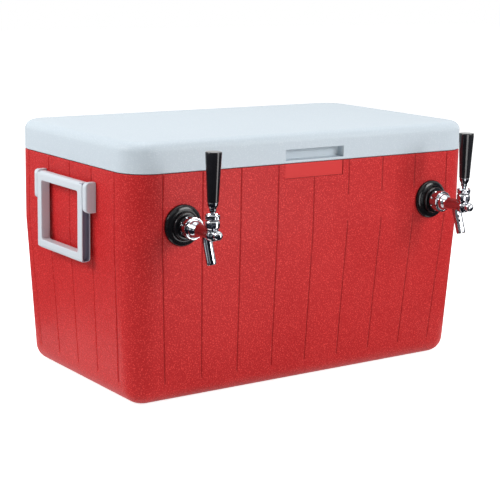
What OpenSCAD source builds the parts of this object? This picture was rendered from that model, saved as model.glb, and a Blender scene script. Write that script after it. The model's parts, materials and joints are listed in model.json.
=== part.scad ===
// Jockey box: an insulated picnic chest with two taps on its front wall. Beer enters through two
// inlets on the back wall, runs through stainless coils that stand in the ice, and leaves at the taps.
// Millimetres. Z is up, the front faces -Y, and the origin is at the centre of the base.

/* [Chest] */
// Length of the chest, end to end
chest_length = 620; // [600:5:700]
// Width of the chest, front to back
chest_width = 352; // [344:2:420]
// Height of the chest up to the lid
chest_height = 333; // [325:1:380]
// Radius of the upright corners, seen from above
corner_radius = 44; // [42:1:56]
// Thickness of the moulded outer shell
shell_wall = 3; // [2.5:0.5:4]
// Thickness of a side wall: shell, foam and liner together
wall_total = 30; // [27:1:34]
// Thickness of the floor: shell, foam and liner together
floor_total = 44; // [38:1:52]
// Height at which the walls begin to lean in towards the base
taper_start = 229; // [200:1:229]
// How far each outer wall has leaned in at the base
base_inset = 15; // [8:1:18]
// Radius of the rounded edge round the base
base_fillet = 26; // [16:1:27]

/* [Grooves] */
// Spacing of the upright grooves
groove_pitch = 65; // [50:1:80]
// Width of a groove
groove_width = 2.4; // [1.5:0.1:4]
// Depth of a groove
groove_depth = 1; // [0.6:0.1:1.4]
// Height above the base at which the grooves end
groove_foot = 29; // [28:1:60]
// Share of their distance from the middle by which the long walls' grooves draw together
side_gather = 0.06; // [0:0.01:0.1]
// Share of their distance from the middle by which the end walls' grooves draw together
end_gather = 0.1; // [0:0.01:0.15]
// Length of the bare field on the front wall that the grooves leave free
field_length = 166; // [120:1:170]
// Height of the bare field
field_height = 40; // [30:1:50]
// Distance from the middle of the front wall to the near edge of the bare field
field_offset = 31; // [20:1:32]

/* [Liner] */
// Thickness of the liner
liner_wall = 2.5; // [2:0.5:3.5]
// Radius of the liner's upright corners
liner_corner = 30; // [26:1:40]
// How far each liner wall has leaned in at the floor
liner_inset = 12; // [8:1:16]
// Radius between the liner's walls and floor
liner_fillet = 15; // [8:1:16]

/* [Lid] */
// Height of the lid, from the parting line to its top
lid_height = 44; // [40:1:60]
// Thickness of the lid's shell
lid_wall = 3; // [2.5:0.5:4]
// Radius of the rounded edge round the top of the lid
lid_edge_radius = 14; // [8:1:15]
// Thickness of the gasket that the lid rests on
gasket_height = 1; // [1:0.5:2]
// Width of the gasket
gasket_width = 10; // [6:1:12]
// Depth to which the lid's plug drops into the chest
plug_depth = 8; // [6:1:16]
// Clearance between the plug and the liner
plug_clearance = 3; // [2:0.5:5]
// Length of the finger pocket in the lid's front
pocket_length = 106; // [90:1:120]
// Height of the finger pocket
pocket_height = 16; // [14:1:18]
// Depth of the finger pocket
pocket_depth = 13; // [10:1:14]
// Height of the lip below the finger pocket
pocket_lip = 4; // [3:0.5:5]
// Depth of the smooth finger relief on the chest below the pocket
relief_depth = 1.5; // [1:0.1:2]
// Height of the finger relief
relief_height = 21.5; // [18:0.5:26]

/* [Taps] */
// Distance of each tap and inlet from the middle of the chest
tap_spread = 228; // [200:1:232]
// Height of the taps' and inlets' axes
tap_height = 260; // [259:1:275]
// Radius of the shank's thread
shank_radius = 11.1; // [10:0.1:12]
// Radius of the shank's bore
shank_bore = 2.4; // [2:0.1:3.2]
// Length of the shank inside the chest, past the liner
shank_reach = 32; // [30:1:40]
// Radial clearance of the holes drilled through the wall
drill_clearance = 0.3; // [0.2:0.1:1]
// Radius of the round flange on the wall
flange_radius = 29.5; // [26:0.5:31]
// Height of the flange's hub
flange_height = 13; // [11:0.5:16]
// Radius of the coupling nut
coupling_radius = 16; // [15.5:0.5:18]
// Distance from the wall to the lever's column
column_out = 75.5; // [74:0.5:84]
// Height of the lever's pivot above the tap's axis
pivot_rise = 17; // [16.5:0.5:18]
// Radius of the tap's spout
spout_radius = 7; // [6.6:0.1:8]
// Thickness of the spout's wall
spout_wall = 1.6; // [1.2:0.1:2]
// Forward lean of the spout at its tip, in degrees
spout_lean = 20; // [14:1:24]
// Depth of the spout's tip below the tap's axis
spout_drop = 42.5; // [38:0.5:56]
// Forward swing of the lever, in degrees
lever_swing = 25; // [15:1:25]
// Height of the tap handle
knob_height = 68; // [50:1:120]
// Radius of the tap handle at its top
knob_top_radius = 11.3; // [9:0.1:16]
// Radius of the tap handle at its foot
knob_foot_radius = 8; // [7.8:0.1:10]

/* [Coils] */
// Outer diameter of the coil's tube
tube_diameter = 9.5; // [8:0.1:9.6]
// Radius of the coil, to the middle of its tube
coil_radius = 100; // [80:1:101]
// Number of loops in a coil
coil_turns = 14; // [6:1:15]
// Height of the coil's lowest loop above the base
coil_foot = 80; // [70:1:110]
// Distance behind the coil's middle at which its tube rises again
riser_offset = 60; // [56:1:66]
// Radius of the bends at the foot and head of the rising tube
riser_bend = 25; // [20:1:28]

/* [Carry handles] */
// Width of a carry handle
handle_width = 138.4; // [120:0.2:150]
// Height of a carry handle
handle_height = 115; // [95:1:118]
// Height of a carry handle's top edge above the base
handle_top = 311.5; // [300:0.5:318]
// Width of the handle's bars
bar_width = 13.5; // [12:0.5:18]
// Depth of the handle's bars
bar_depth = 14.6; // [13:0.1:15]
// Gap between the chest's end and the handle
handle_gap = 3; // [2.6:0.1:6]
// Width of the brackets that hold the handle
bracket_width = 10; // [8:0.5:14]
// Height of the brackets
bracket_height = 43.5; // [36:0.5:60]
// Radius of the handle's pivot pins
handle_pin_radius = 3; // [2.5:0.1:3.5]

/* [Hinges] */
// Distance of each lid hinge from the middle of the chest
hinge_spread = 170; // [60:1:180]
// Length of a hinge
hinge_length = 64; // [50:1:80]
// Thickness of a hinge leaf
leaf_thickness = 3; // [2:0.5:3]
// Radius of the hinge's knuckles
knuckle_radius = 5.5; // [5:0.1:6]
// Radius of the hinge pins
hinge_pin_radius = 2.5; // [2:0.1:3]

/* [Drain] */
// Height of the drain's axis above the base
drain_height = 66; // [62:1:74]
// Radius of the drain's bore
drain_bore = 8; // [7:0.5:8.5]
// Radius of the hose thread on the drain
drain_thread = 13.3; // [12.5:0.1:14]
// Depth of the recess round the drain, measured from the top of the end wall
drain_recess = 23; // [21:0.5:25]

/* [Hidden] */

SMOOTH = 96;            // facets of a large round
FINE = 48;              // facets of a small round
ARC_STEPS = 8;          // straight steps in a rounded edge's outline
PAST = 1;               // how far a cutter runs past the face it cuts
FIT = 0.05;             // radial running clearance of pins and threads
LEFT = -1;
RIGHT = 1;

red = "#c8323a";
cool_white = "#dbe4ea";
foam_yellow = "#ece2b0";
chrome = "#c9ced2";
steel = "#a9aeb2";
black = "#17181a";
rubber_grey = "#3a3b3d";

half_length = chest_length / 2;
half_width = chest_width / 2;
shell_centre = [half_length - corner_radius, half_width - corner_radius];
liner_half = [half_length - wall_total, half_width - wall_total];
liner_centre = [liner_half.x - liner_corner, liner_half.y - liner_corner];
lid_foot = chest_height + gasket_height;
lid_top = chest_height + lid_height;
shank_end = -(wall_total + shank_reach);
shank_hole = shank_radius + drill_clearance;

// ---------- outlines shared by the moulded pieces ----------

function backwards(points) = [for (i = [len(points) - 1:-1:0]) points[i]];

// Outline of a tub's wall from the middle of its floor up to its rim, as [distance, height] from the
// corner's centre: flat floor, rounded foot, a leaning wall up to taper_start and then an upright one.
// skin moves the outline inwards by that much.
function tub_line(radius, inset, fillet, floor_z, rim_z, skin) =
    let (lean = atan(inset / (taper_start - floor_z)),
         foot = min(fillet, radius - inset - 1),
         middle = radius - inset + foot * tan(lean) - foot / cos(lean))
    concat([[0, floor_z + skin]],
        [for (i = [0:ARC_STEPS]) let (turn = -90 + (90 - lean) * i / ARC_STEPS)
            [middle + (foot - skin) * cos(turn), floor_z + foot + (foot - skin) * sin(turn)]],
        [[radius - skin, taper_start], [radius - skin, rim_z]]);

function shell_line(skin, rim_z) = tub_line(corner_radius, base_inset, base_fillet, 0, rim_z, skin);

function liner_line(skin, rim_z) =
    tub_line(liner_corner, liner_inset, liner_fillet, floor_total, rim_z, skin);

// Outline of the lid from its foot up the side, round the edge and in to the corner's centre.
function lid_line(skin, foot_z) = concat([[corner_radius - skin, foot_z]],
    [for (i = [0:ARC_STEPS]) let (turn = 90 * i / ARC_STEPS)
        [corner_radius - lid_edge_radius + (lid_edge_radius - skin) * cos(turn),
         lid_top - lid_edge_radius + (lid_edge_radius - skin) * sin(turn)]],
    [[0, lid_top - skin]]);

// How far the outer wall has leaned in at a height
function wall_inset(z) = base_inset * max(0, taper_start - z) / taper_start;

// Carries an outline round a rectangle with rounded corners, and fills the middle between two heights.
module swept_round(centre, low, high) {
    for (x = [0, 1], y = [0, 1])
        mirror([x, 0, 0]) mirror([0, y, 0]) translate([centre.x, centre.y, 0])
            rotate_extrude(angle = 90, $fn = SMOOTH) children();
    for (x = [0, 1])
        mirror([x, 0, 0]) translate([centre.x, 0, 0]) rotate([90, 0, 0])
            linear_extrude(2 * centre.y, center = true) children();
    for (y = [0, 1])
        mirror([0, y, 0]) translate([0, centre.y, 0]) rotate([90, 0, 90])
            linear_extrude(2 * centre.x, center = true) children();
    translate([-centre.x, -centre.y, low]) cube([2 * centre.x, 2 * centre.y, high - low]);
}

// Rectangle with rounded corners, given by its corner centres and radius
module round_plate(centre, radius, low, high) {
    translate([0, 0, low]) linear_extrude(high - low) {
        square([2 * centre.x + 2 * radius, 2 * centre.y], center = true);
        square([2 * centre.x, 2 * centre.y + 2 * radius], center = true);
        for (x = [-1, 1], y = [-1, 1]) translate([x * centre.x, y * centre.y]) circle(radius, $fn = SMOOTH);
    }
}

// Places children on one of the four walls: there, -Y points out of the wall.
module on_wall(turn, half) {
    rotate([0, 0, turn]) translate([0, -half, 0]) children();
}

module on_front() { on_wall(0, half_width) children(); }
module on_back() { on_wall(180, half_width) children(); }
module on_left_end() { on_wall(-90, half_length) children(); }
module on_right_end() { on_wall(90, half_length) children(); }

// Draws in the upright plane square to a wall: x runs out of the wall and y up.
module side_plane() { rotate([90, 0, -90]) children(); }

// Turned piece whose axis runs out of the wall: the outline is [radius, distance out].
module turned(outline, facets = FINE) {
    rotate([90, 0, 0]) rotate_extrude($fn = facets) polygon(outline);
}

// Pillar between two distances out of the wall
module boss(radius, low, high, facets = FINE) {
    rotate([90, 0, 0]) translate([0, 0, low]) cylinder(r = radius, h = high - low, $fn = facets);
}

// Holes for the shanks, right through both long walls
module shank_holes() {
    for (x = [LEFT, RIGHT])
        translate([x * tap_spread, 0, tap_height]) rotate([90, 0, 0])
            cylinder(r = shank_hole, h = chest_width + 2 * PAST, center = true, $fn = FINE);
}

// ---------- chest ----------

groove_count_side = floor(shell_centre.x / groove_pitch);
groove_count_end = floor(shell_centre.y / groove_pitch);

module groove(place, gather) {
    out = 6;
    foot_y = wall_inset(groove_foot) + groove_depth;
    translate([place, 0, 0]) rotate([90, 0, 90]) linear_extrude(groove_width, center = true)
        polygon([[groove_depth, taper_start], [groove_depth, chest_height + PAST],
                 [-out, chest_height + PAST], [-out, taper_start]]);
    translate([place, 0, taper_start]) rotate([0, atan(place * gather / taper_start), 0])
        translate([0, 0, -taper_start]) rotate([90, 0, 90]) linear_extrude(groove_width, center = true)
            polygon([[foot_y, groove_foot], [groove_depth, taper_start],
                     [-out, taper_start], [-out, groove_foot]]);
}

module side_grooves() {
    for (i = [-groove_count_side:groove_count_side]) groove(i * groove_pitch, side_gather);
}

module end_grooves() {
    for (i = [-groove_count_end:groove_count_end]) groove(i * groove_pitch, end_gather);
}

// Bare field on the front wall, level with the taps
module bare_field() {
    depth = 4 * shell_wall;
    translate([field_offset, -half_width - depth / 2, tap_height - field_height / 2])
        cube([field_length, depth, field_height]);
}

// Round recess in the right end that the drain stands in
cup_radius = 26;
cup_floor = half_length - drain_recess;

module drain_axis() { translate([0, 0, drain_height]) rotate([0, 90, 0]) children(); }

module drain_cup(radius, low) {
    drain_axis() translate([0, 0, low]) cylinder(r = radius, h = half_length + 2 - low, $fn = SMOOTH);
}

module handle_peg_holes() {
    on_left_end() handle_pegs(FIT);
    on_right_end() handle_pegs(FIT);
}

module outer_shell() {
    color(red) difference() {
        union() {
            swept_round(shell_centre, 0, shell_wall)
                polygon(concat(shell_line(0, chest_height), backwards(shell_line(shell_wall, chest_height))));
            intersection() {
                drain_cup(cup_radius + shell_wall, cup_floor - shell_wall);
                translate([shell_centre.x, 0, 0]) rotate([90, 0, 0])
                    linear_extrude(2 * shell_centre.y, center = true)
                        polygon(concat(shell_line(shell_wall / 2, chest_height), [[0, chest_height]]));
            }
        }
        difference() {
            union() {
                on_front() side_grooves();
                on_back() side_grooves();
                on_left_end() end_grooves();
                on_right_end() end_grooves();
            }
            bare_field();
        }
        translate([-pocket_length / 2, -half_width - PAST, chest_height - relief_height])
            cube([pocket_length, PAST + relief_depth, relief_height + PAST]);
        shank_holes();
        handle_peg_holes();
        drain_cup(cup_radius, cup_floor);
        drain_axis() cylinder(r = drain_tube + drill_clearance, h = half_length, $fn = FINE);
        leaf_screw_holes(body_screw_height);
    }
}

rim_low = chest_height - liner_wall;

module insulation_foam() {
    color(foam_yellow) difference() {
        swept_round(shell_centre, shell_wall, rim_low)
            polygon(concat(shell_line(shell_wall, rim_low), [[0, rim_low]]));
        swept_round(liner_centre, floor_total - liner_wall, chest_height)
            polygon(concat(liner_line(-liner_wall, chest_height), [[0, chest_height]]));
        shank_holes();
        handle_peg_holes();
        drain_cup(cup_radius + shell_wall, cup_floor - shell_wall);
        drain_axis() {
            cylinder(r = drain_tube + drill_clearance, h = half_length, $fn = FINE);
            cylinder(r = drain_pad_radius, h = drain_pad_back, $fn = FINE);
        }
    }
}

module inner_liner() {
    color(cool_white) difference() {
        union() {
            swept_round(liner_centre, floor_total - liner_wall, floor_total)
                polygon(concat(liner_line(-liner_wall, chest_height), backwards(liner_line(0, chest_height))));
            difference() {
                round_plate(shell_centre, corner_radius - shell_wall, rim_low, chest_height);
                round_plate(liner_centre, liner_corner, rim_low - PAST, chest_height + PAST);
            }
            drain_axis() translate([0, 0, drain_pad_face])
                cylinder(r = drain_pad_radius, h = drain_pad_back - drain_pad_face, $fn = FINE);
        }
        shank_holes();
        drain_axis() cylinder(r = drain_tube + drill_clearance, h = half_length, $fn = FINE);
    }
}

// ---------- lid ----------

plug_corner = liner_corner - plug_clearance;
plug_low = chest_height - plug_depth;
pocket_low = lid_foot + pocket_lip;

// Moulded box round the finger pocket, and the pocket itself
module pocket_box() {
    translate([-pocket_length / 2 - lid_wall, -half_width + lid_wall / 2, lid_foot])
        cube([pocket_length + 2 * lid_wall, pocket_depth + lid_wall / 2, pocket_lip + pocket_height + lid_wall]);
}

module pocket_space() {
    translate([-pocket_length / 2, -half_width - PAST, pocket_low])
        cube([pocket_length, pocket_depth + PAST, pocket_height]);
}

module lid_shell() {
    color(cool_white) difference() {
        union() {
            swept_round(shell_centre, lid_top - lid_wall, lid_top)
                polygon(concat(lid_line(0, lid_foot), backwards(lid_line(lid_wall, lid_foot))));
            pocket_box();
        }
        pocket_space();
        leaf_screw_holes(lid_screw_height);
    }
}

module lid_foam() {
    tray_low = lid_foot + liner_wall;
    color(foam_yellow) difference() {
        union() {
            swept_round(shell_centre, tray_low, lid_top - lid_wall)
                polygon(concat(lid_line(lid_wall, tray_low), [[0, tray_low]]));
            round_plate(liner_centre, plug_corner - liner_wall, plug_low + liner_wall, tray_low);
        }
        pocket_box();
    }
}

module lid_liner() {
    color(cool_white) difference() {
        union() {
            round_plate(shell_centre, corner_radius - lid_wall, lid_foot, lid_foot + liner_wall);
            round_plate(liner_centre, plug_corner, plug_low, lid_foot);
        }
        round_plate(liner_centre, plug_corner - liner_wall, plug_low + liner_wall, lid_foot + liner_wall + PAST);
        pocket_box();
    }
}

module lid_gasket() {
    gasket_edge = corner_radius - shell_wall - 3;
    color(rubber_grey) difference() {
        round_plate(shell_centre, gasket_edge, chest_height, lid_foot);
        round_plate(shell_centre, gasket_edge - gasket_width, chest_height - PAST, lid_foot + PAST);
    }
}

// ---------- lid hinges ----------

hinge_out = knuckle_radius + 1;
hinge_axis_z = lid_foot + 1;
hinge_play = 0.3;
leaf_start = knuckle_radius + 1;
body_leaf_end = -36;
lid_leaf_end = lid_top - lid_edge_radius - hinge_axis_z;
leaf_screw_radius = 2;
leaf_screw_share = 0.34;
body_screw_height = (body_leaf_end - leaf_start) / 2;
lid_screw_height = (leaf_start + lid_leaf_end) / 2;
middle_knuckle = hinge_length * 0.46;
end_knuckle = (hinge_length - middle_knuckle) / 2 - hinge_play;

module hinge_frame(side) {
    translate([side * hinge_spread, half_width, hinge_axis_z]) children();
}

// Pillar along the hinge's axis
module hinge_rod(radius, length) {
    translate([0, hinge_out, 0]) rotate([0, 90, 0]) cylinder(r = radius, h = length, center = true, $fn = FINE);
}

// One knuckle with the web that joins it to its leaf, which lies below or above the axis
module knuckle(place, length, direction) {
    web_low = direction > 0 ? 0 : -leaf_start - PAST;
    translate([place, 0, 0]) {
        hinge_rod(knuckle_radius, length);
        translate([-length / 2, hinge_out - knuckle_radius, web_low])
            cube([length, leaf_thickness, leaf_start + PAST]);
    }
}

module leaf_screw_places(height) {
    for (x = [-1, 1])
        translate([x * leaf_screw_share * hinge_length, 0, height]) rotate([-90, 0, 0]) children();
}

// Flat leaf between two heights from the axis, bored for its screws and for the pin
module hinge_leaf(low, high) {
    difference() {
        union() {
            translate([-hinge_length / 2, 0, low]) cube([hinge_length, leaf_thickness, high - low]);
            children();
        }
        hinge_rod(hinge_pin_radius + FIT, hinge_length + 2 * PAST);
        leaf_screw_places((low + high) / 2) translate([0, 0, -PAST])
            cylinder(r = leaf_screw_radius + FIT, h = leaf_thickness + 2 * PAST, $fn = FINE);
    }
}

module hinge_body_leaf(side) {
    color(cool_white) hinge_frame(side) hinge_leaf(body_leaf_end, -leaf_start)
        for (x = [-1, 1]) knuckle(x * (hinge_length - end_knuckle) / 2, end_knuckle, -1);
}

module hinge_lid_leaf(side) {
    color(cool_white) hinge_frame(side) hinge_leaf(leaf_start, lid_leaf_end)
        knuckle(0, middle_knuckle, 1);
}

module hinge_pin(side) {
    color(steel) hinge_frame(side) hinge_rod(hinge_pin_radius, hinge_length);
}

// Round-headed screw driven towards -Z from a face at z = 0
module screw(radius, head_radius, length) {
    head = radius;
    translate([0, 0, -length]) cylinder(r = radius, h = length + head / 2, $fn = FINE);
    difference() {
        cylinder(r1 = head_radius, r2 = head_radius * 0.7, h = head, $fn = FINE);
        for (turn = [0, 90]) rotate([0, 0, turn]) translate([0, 0, head])
            cube([head_radius, radius / 3, head], center = true);
    }
}

module leaf_screws(height) {
    color(steel) for (side = [LEFT, RIGHT]) hinge_frame(side) leaf_screw_places(height)
        translate([0, 0, leaf_thickness]) screw(leaf_screw_radius, 3.8, leaf_thickness + shell_wall);
}

module hinge_body_screws() { leaf_screws(body_screw_height); }

module hinge_lid_screws() { leaf_screws(lid_screw_height); }

// Holes that the screws need in the shells
module leaf_screw_holes(height) {
    for (side = [LEFT, RIGHT]) hinge_frame(side) leaf_screw_places(height)
        translate([0, 0, -shell_wall - PAST]) cylinder(r = leaf_screw_radius, h = shell_wall + 2 * PAST, $fn = FINE);
}

// ---------- shanks, flanges and nuts ----------

shoulder_out = flange_height + 2.5;
neck_out = shoulder_out + 4.5;
lip_out = neck_out + 3;
gasket_out = lip_out + 1;
lip_radius = 12.4;
neck_radius = 9.5;
shoulder_radius = 13.5;
socket_radius = 8;
socket_depth = 8;

module tap_shank(side) {
    color(chrome) tap_frame(side) turned([
        [shank_bore, shank_end], [shank_radius, shank_end], [shank_radius, flange_height],
        [shoulder_radius, flange_height], [shoulder_radius, shoulder_out], [neck_radius, shoulder_out],
        [neck_radius, neck_out], [lip_radius, neck_out], [lip_radius, lip_out],
        [socket_radius, lip_out], [socket_radius, socket_depth], [shank_bore, socket_depth]]);
}

// Stepped round flange: a low dome rising to a hub
module flange() {
    rim = 2;
    hub_radius = 0.68 * flange_radius;
    hub_foot = 0.62 * flange_height;
    hub_round = 4;
    dome = [for (i = [0:ARC_STEPS]) let (turn = 90 * i / ARC_STEPS)
        [hub_radius + (flange_radius - hub_radius) * cos(turn), rim + (hub_foot - rim) * sin(turn)]];
    hub = [for (i = [0:ARC_STEPS]) let (turn = 90 * i / ARC_STEPS)
        [hub_radius - hub_round + hub_round * cos(turn), flange_height - hub_round + hub_round * sin(turn)]];
    color(black) turned(concat([[shank_radius + FIT, 0], [flange_radius, 0]], dome, hub,
        [[shank_radius + FIT, flange_height]]), SMOOTH);
}

module tap_frame(side) {
    on_front() translate([side * tap_spread, 0, tap_height]) children();
}

module inlet_frame(side) {
    on_back() translate([-side * tap_spread, 0, tap_height]) children();
}

module tap_flange(side) { tap_frame(side) flange(); }

module inlet_flange(side) { inlet_frame(side) flange(); }

// Ring nut that draws the tap onto its shank, with notches for a hook spanner
module coupling_nut(side) {
    low = shoulder_out + 0.3;
    high = coupling_front;
    edge = 1;
    notches = 8;
    color(chrome) tap_frame(side) difference() {
        turned([[neck_radius + 0.2, low], [coupling_radius - edge, low], [coupling_radius, low + edge],
                [coupling_radius, high - edge], [coupling_radius - edge, high],
                [thread_radius + FIT, high], [thread_radius + FIT, neck_out - 0.1],
                [neck_radius + 0.2, neck_out - 0.1]]);
        for (i = [0:notches - 1]) rotate([0, (i + 0.5) * 360 / notches, 0])
            translate([coupling_radius + 0.6, 0, 0]) boss(1.8, low + 4, high + PAST, 24);
    }
}

module coupling_gaskets() {
    color(rubber_grey) for (side = [LEFT, RIGHT]) tap_frame(side)
        turned([[socket_radius + 0.5, lip_out], [lip_radius, lip_out],
                [lip_radius, gasket_out], [socket_radius + 0.5, gasket_out]]);
}

// Hexagonal nut on a shank, between two distances out of the wall
module hex_nut(across_flats, bore, low, high) {
    difference() {
        boss(across_flats / 2 / cos(30), low, high, 6);
        boss(bore, low - PAST, high + PAST);
    }
}

shank_nut_flats = 30;
shank_nut_height = 6;
shank_nut_corner = shank_nut_flats / 2 / cos(30);
// The nuts bear where the liner under them has leaned in furthest
shank_nut_fall = max(0, taper_start - tap_height + shank_nut_corner);
shank_nut_seat = wall_total + liner_inset * shank_nut_fall / (taper_start - floor_total);

// Places a nut of a shank between the liner and the ice
module shank_nut() {
    hex_nut(shank_nut_flats, shank_radius + FIT, -shank_nut_seat - shank_nut_height, -shank_nut_seat);
}

module shank_nuts() {
    color(steel) for (side = [LEFT, RIGHT]) {
        tap_frame(side) shank_nut();
        inlet_frame(side) shank_nut();
    }
}

// Inlet shank with a hexagon and a flared male thread for the keg line
flare_radius = 5.55;
flare_length = 12;
inlet_hex_height = 5;
inlet_hex_flats = 19;

module inlet_shank(side) {
    hex_out = shoulder_out + inlet_hex_height;
    color(chrome) inlet_frame(side) difference() {
        union() {
            turned([[0, shank_end], [shank_radius, shank_end], [shank_radius, flange_height],
                    [shoulder_radius, flange_height], [shoulder_radius, shoulder_out],
                    [flare_radius, shoulder_out], [flare_radius, hex_out + flare_length],
                    [flare_radius - 2, hex_out + flare_length + 2], [0, hex_out + flare_length + 2]]);
            boss(inlet_hex_flats / 2 / cos(30), shoulder_out, hex_out, 6);
        }
        boss(shank_bore, shank_end - PAST, hex_out + flare_length + 2 + PAST);
    }
}

// ---------- faucets ----------

thread_radius = 13.4;
thread_length = 7;
coupling_front = gasket_out + thread_length;
seat_radius = 4.2;
seat_thickness = 3;
chamber_radius = 6;
guide_radius = 5;
guide_back = column_out - 7;
guide_reach = 14;
guide_front = column_out + guide_reach;
column_radius = 9.5;
collar_radius = 10.2;
column_top = pivot_rise + 2.3;
ball_radius = 6.5;
bonnet_rise = 10;
bonnet_top = pivot_rise + bonnet_rise;
lever_stem = 3.5;
tip_radius = 2.5;
waist_place = 22;
waist_out = gasket_out + waist_place;
waist_radius = 8.6;
nose_radius = 6.8;
nose_reach = 13;
nose_out = column_out + nose_reach;
nose_neck_radius = 5.9;
swell_radius = 8.9;
column_foot = -3;
column_foot_round = 7.4;
spout_bend = 45;
spout_root_lean = -2;
spout_setback = 13;
spout_root = column_out - spout_setback;
spout_step = 0.15;
spout_lap = 0.3;

// Outside of the faucet: thread, waist, swell under the column, neck and round nose
function barrel_line() =
    let (wave_start = gasket_out + 9, wave = waist_out - wave_start, back = thread_radius - 1.2)
    concat([[0, gasket_out], [thread_radius, gasket_out], [thread_radius, coupling_front + 0.5]],
        [for (i = [0:ARC_STEPS]) let (share = (1 - cos(180 * i / ARC_STEPS)) / 2)
            [back + (waist_radius - back) * share, wave_start + wave * i / ARC_STEPS]],
        [[waist_radius, spout_root - 10], [swell_radius, column_out - 4],
         [swell_radius, column_out], [nose_neck_radius, column_out + 8], [0, column_out + 8]]);

// Outside of the lever's column, as [radius, height]: rounded foot, shaft and collar
function column_line() =
    concat([for (i = [0:ARC_STEPS]) let (turn = 90 * i / ARC_STEPS)
            [column_radius * sin(turn), column_foot - column_foot_round * cos(turn)]],
        [[column_radius, column_top - 9], [collar_radius, column_top - 7.5], [collar_radius, column_top - 1],
         [collar_radius - 1, column_top], [0, column_top]]);

// Spout as a bend and a slightly wider straight end; x runs out and y up in this plane
module spout(radius, extra) {
    start = [spout_root, 0];
    middle = start + spout_bend * [cos(spout_root_lean), sin(spout_root_lean)];
    bend_end = middle - spout_bend * [cos(spout_lean), sin(spout_lean)];
    straight = (spout_drop + bend_end.y) / cos(spout_lean);
    side_plane() {
        translate(middle) rotate([0, 0, 180 + spout_root_lean])
            rotate_extrude(angle = spout_lean - spout_root_lean, $fn = 4 * SMOOTH)
                translate([spout_bend, 0]) circle(radius - spout_step, $fn = FINE);
        translate(bend_end) rotate([0, 0, spout_lean]) rotate([90, 0, 0]) translate([0, 0, -spout_lap])
            cylinder(r = radius, h = straight + spout_lap + extra, $fn = FINE);
    }
}

// Space in which the lever's tip swings back between its ball and the valve shaft
module tip_space() {
    ball_foot = pivot_rise - ball_radius;
    side_plane() linear_extrude(2 * (tip_radius - 0.3), center = true)
        polygon([[column_out + 2.7, 3], [column_out - 8.3, 3], [column_out - 8.3, 4.5],
                 [column_out - 5.4, ball_foot + 0.5], [column_out + 2.7, ball_foot + 0.5]]);
}

module column_places() { translate([0, -column_out, 0]) children(); }

module faucet_body(side) {
    color(chrome) tap_frame(side) difference() {
        union() {
            turned(barrel_line());
            translate([0, -nose_out, 0]) sphere(r = nose_radius, $fn = FINE);
            column_places() rotate_extrude($fn = FINE) polygon(column_line());
            spout(spout_radius, 0);
        }
        boss(seat_radius, gasket_out - PAST, gasket_out + seat_thickness + PAST);
        boss(chamber_radius, gasket_out + seat_thickness, spout_root + 1);
        boss(guide_radius + FIT, spout_root, guide_front + 1);
        spout(spout_radius - spout_wall, PAST);
        column_places() translate([0, 0, pivot_rise - ball_radius - 0.1])
            cylinder(r = ball_radius + 0.1, h = 2 * ball_radius, $fn = FINE);
        tip_space();
    }
}

washer_radius = 7;
washer_thickness = 2.5;
shaft_stem = 2.5;
slot_half = tip_radius + 0.4;

module valve_shaft(side) {
    nut_radius = 5;
    nut_height = 3;
    washer_back = gasket_out - washer_thickness;
    color(steel) tap_frame(side) difference() {
        turned([[0, washer_back - nut_height], [nut_radius, washer_back - nut_height],
                [nut_radius, washer_back], [shaft_stem, washer_back], [shaft_stem, guide_back],
                [guide_radius, guide_back], [guide_radius, guide_front], [0, guide_front]]);
        side_plane() linear_extrude(2 * tip_radius + 0.6, center = true)
            polygon([[column_out - slot_half, -guide_radius - PAST], [column_out + slot_half, -guide_radius - PAST],
                     [column_out + slot_half, 1], [column_out + slot_half + 1.3, guide_radius + PAST],
                     [column_out - slot_half, guide_radius + PAST]]);
    }
}

module seat_washer(side) {
    color(rubber_grey) tap_frame(side) turned([
        [shaft_stem, gasket_out - washer_thickness], [washer_radius, gasket_out - washer_thickness],
        [washer_radius, gasket_out], [shaft_stem, gasket_out]]);
}

collar_low = pivot_rise + 13.5;
collar_height = 13;
knob_low = collar_low + collar_height;
stud_radius = 3.2;
stud_length = 15;
tip_stem = 1.7;

module tap_lever(side) {
    color(steel) tap_frame(side) column_places() {
        sphere(r = tip_radius, $fn = FINE);
        cylinder(r = tip_stem, h = pivot_rise, $fn = FINE);
        translate([0, 0, pivot_rise]) sphere(r = ball_radius, $fn = FINE);
        translate([0, 0, pivot_rise]) cylinder(r = lever_stem, h = collar_low - pivot_rise, $fn = FINE);
        translate([0, 0, collar_low]) cylinder(r = stud_radius, h = collar_height + stud_length, $fn = FINE);
    }
}

washer_height = 2;
washer_top = column_top + washer_height;
cap_wall = 1.6;
cap_recess = collar_radius - cap_wall;
lever_gap = 0.5;

// Radius that the tilted lever sweeps at a height, with a little clearance
function mouth(height) = (height - pivot_rise) * tan(lever_swing) + lever_stem / cos(lever_swing) + lever_gap;

module ball_washer(side) {
    color(rubber_grey) tap_frame(side) column_places() difference() {
        translate([0, 0, column_top]) cylinder(r = cap_recess, h = washer_height, $fn = FINE);
        translate([0, 0, pivot_rise]) sphere(r = ball_radius + FIT, $fn = FINE);
        translate([0, 0, column_top - PAST])
            cylinder(r1 = mouth(column_top - PAST), r2 = mouth(washer_top + PAST),
                     h = washer_height + 2 * PAST, $fn = FINE);
    }
}

// Bonnet over the ball, with a flared mouth that lets the lever swing
module bonnet(side) {
    recess = cap_recess + FIT;
    color(chrome) tap_frame(side) column_places() rotate_extrude($fn = FINE)
        polygon([[recess, column_top], [collar_radius - 0.8, column_top], [collar_radius, column_top + 0.8],
                 [collar_radius, bonnet_top - 2.4], [collar_radius - 0.5, bonnet_top],
                 [mouth(bonnet_top), bonnet_top], [mouth(washer_top), washer_top], [recess, washer_top]]);
}

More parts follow.
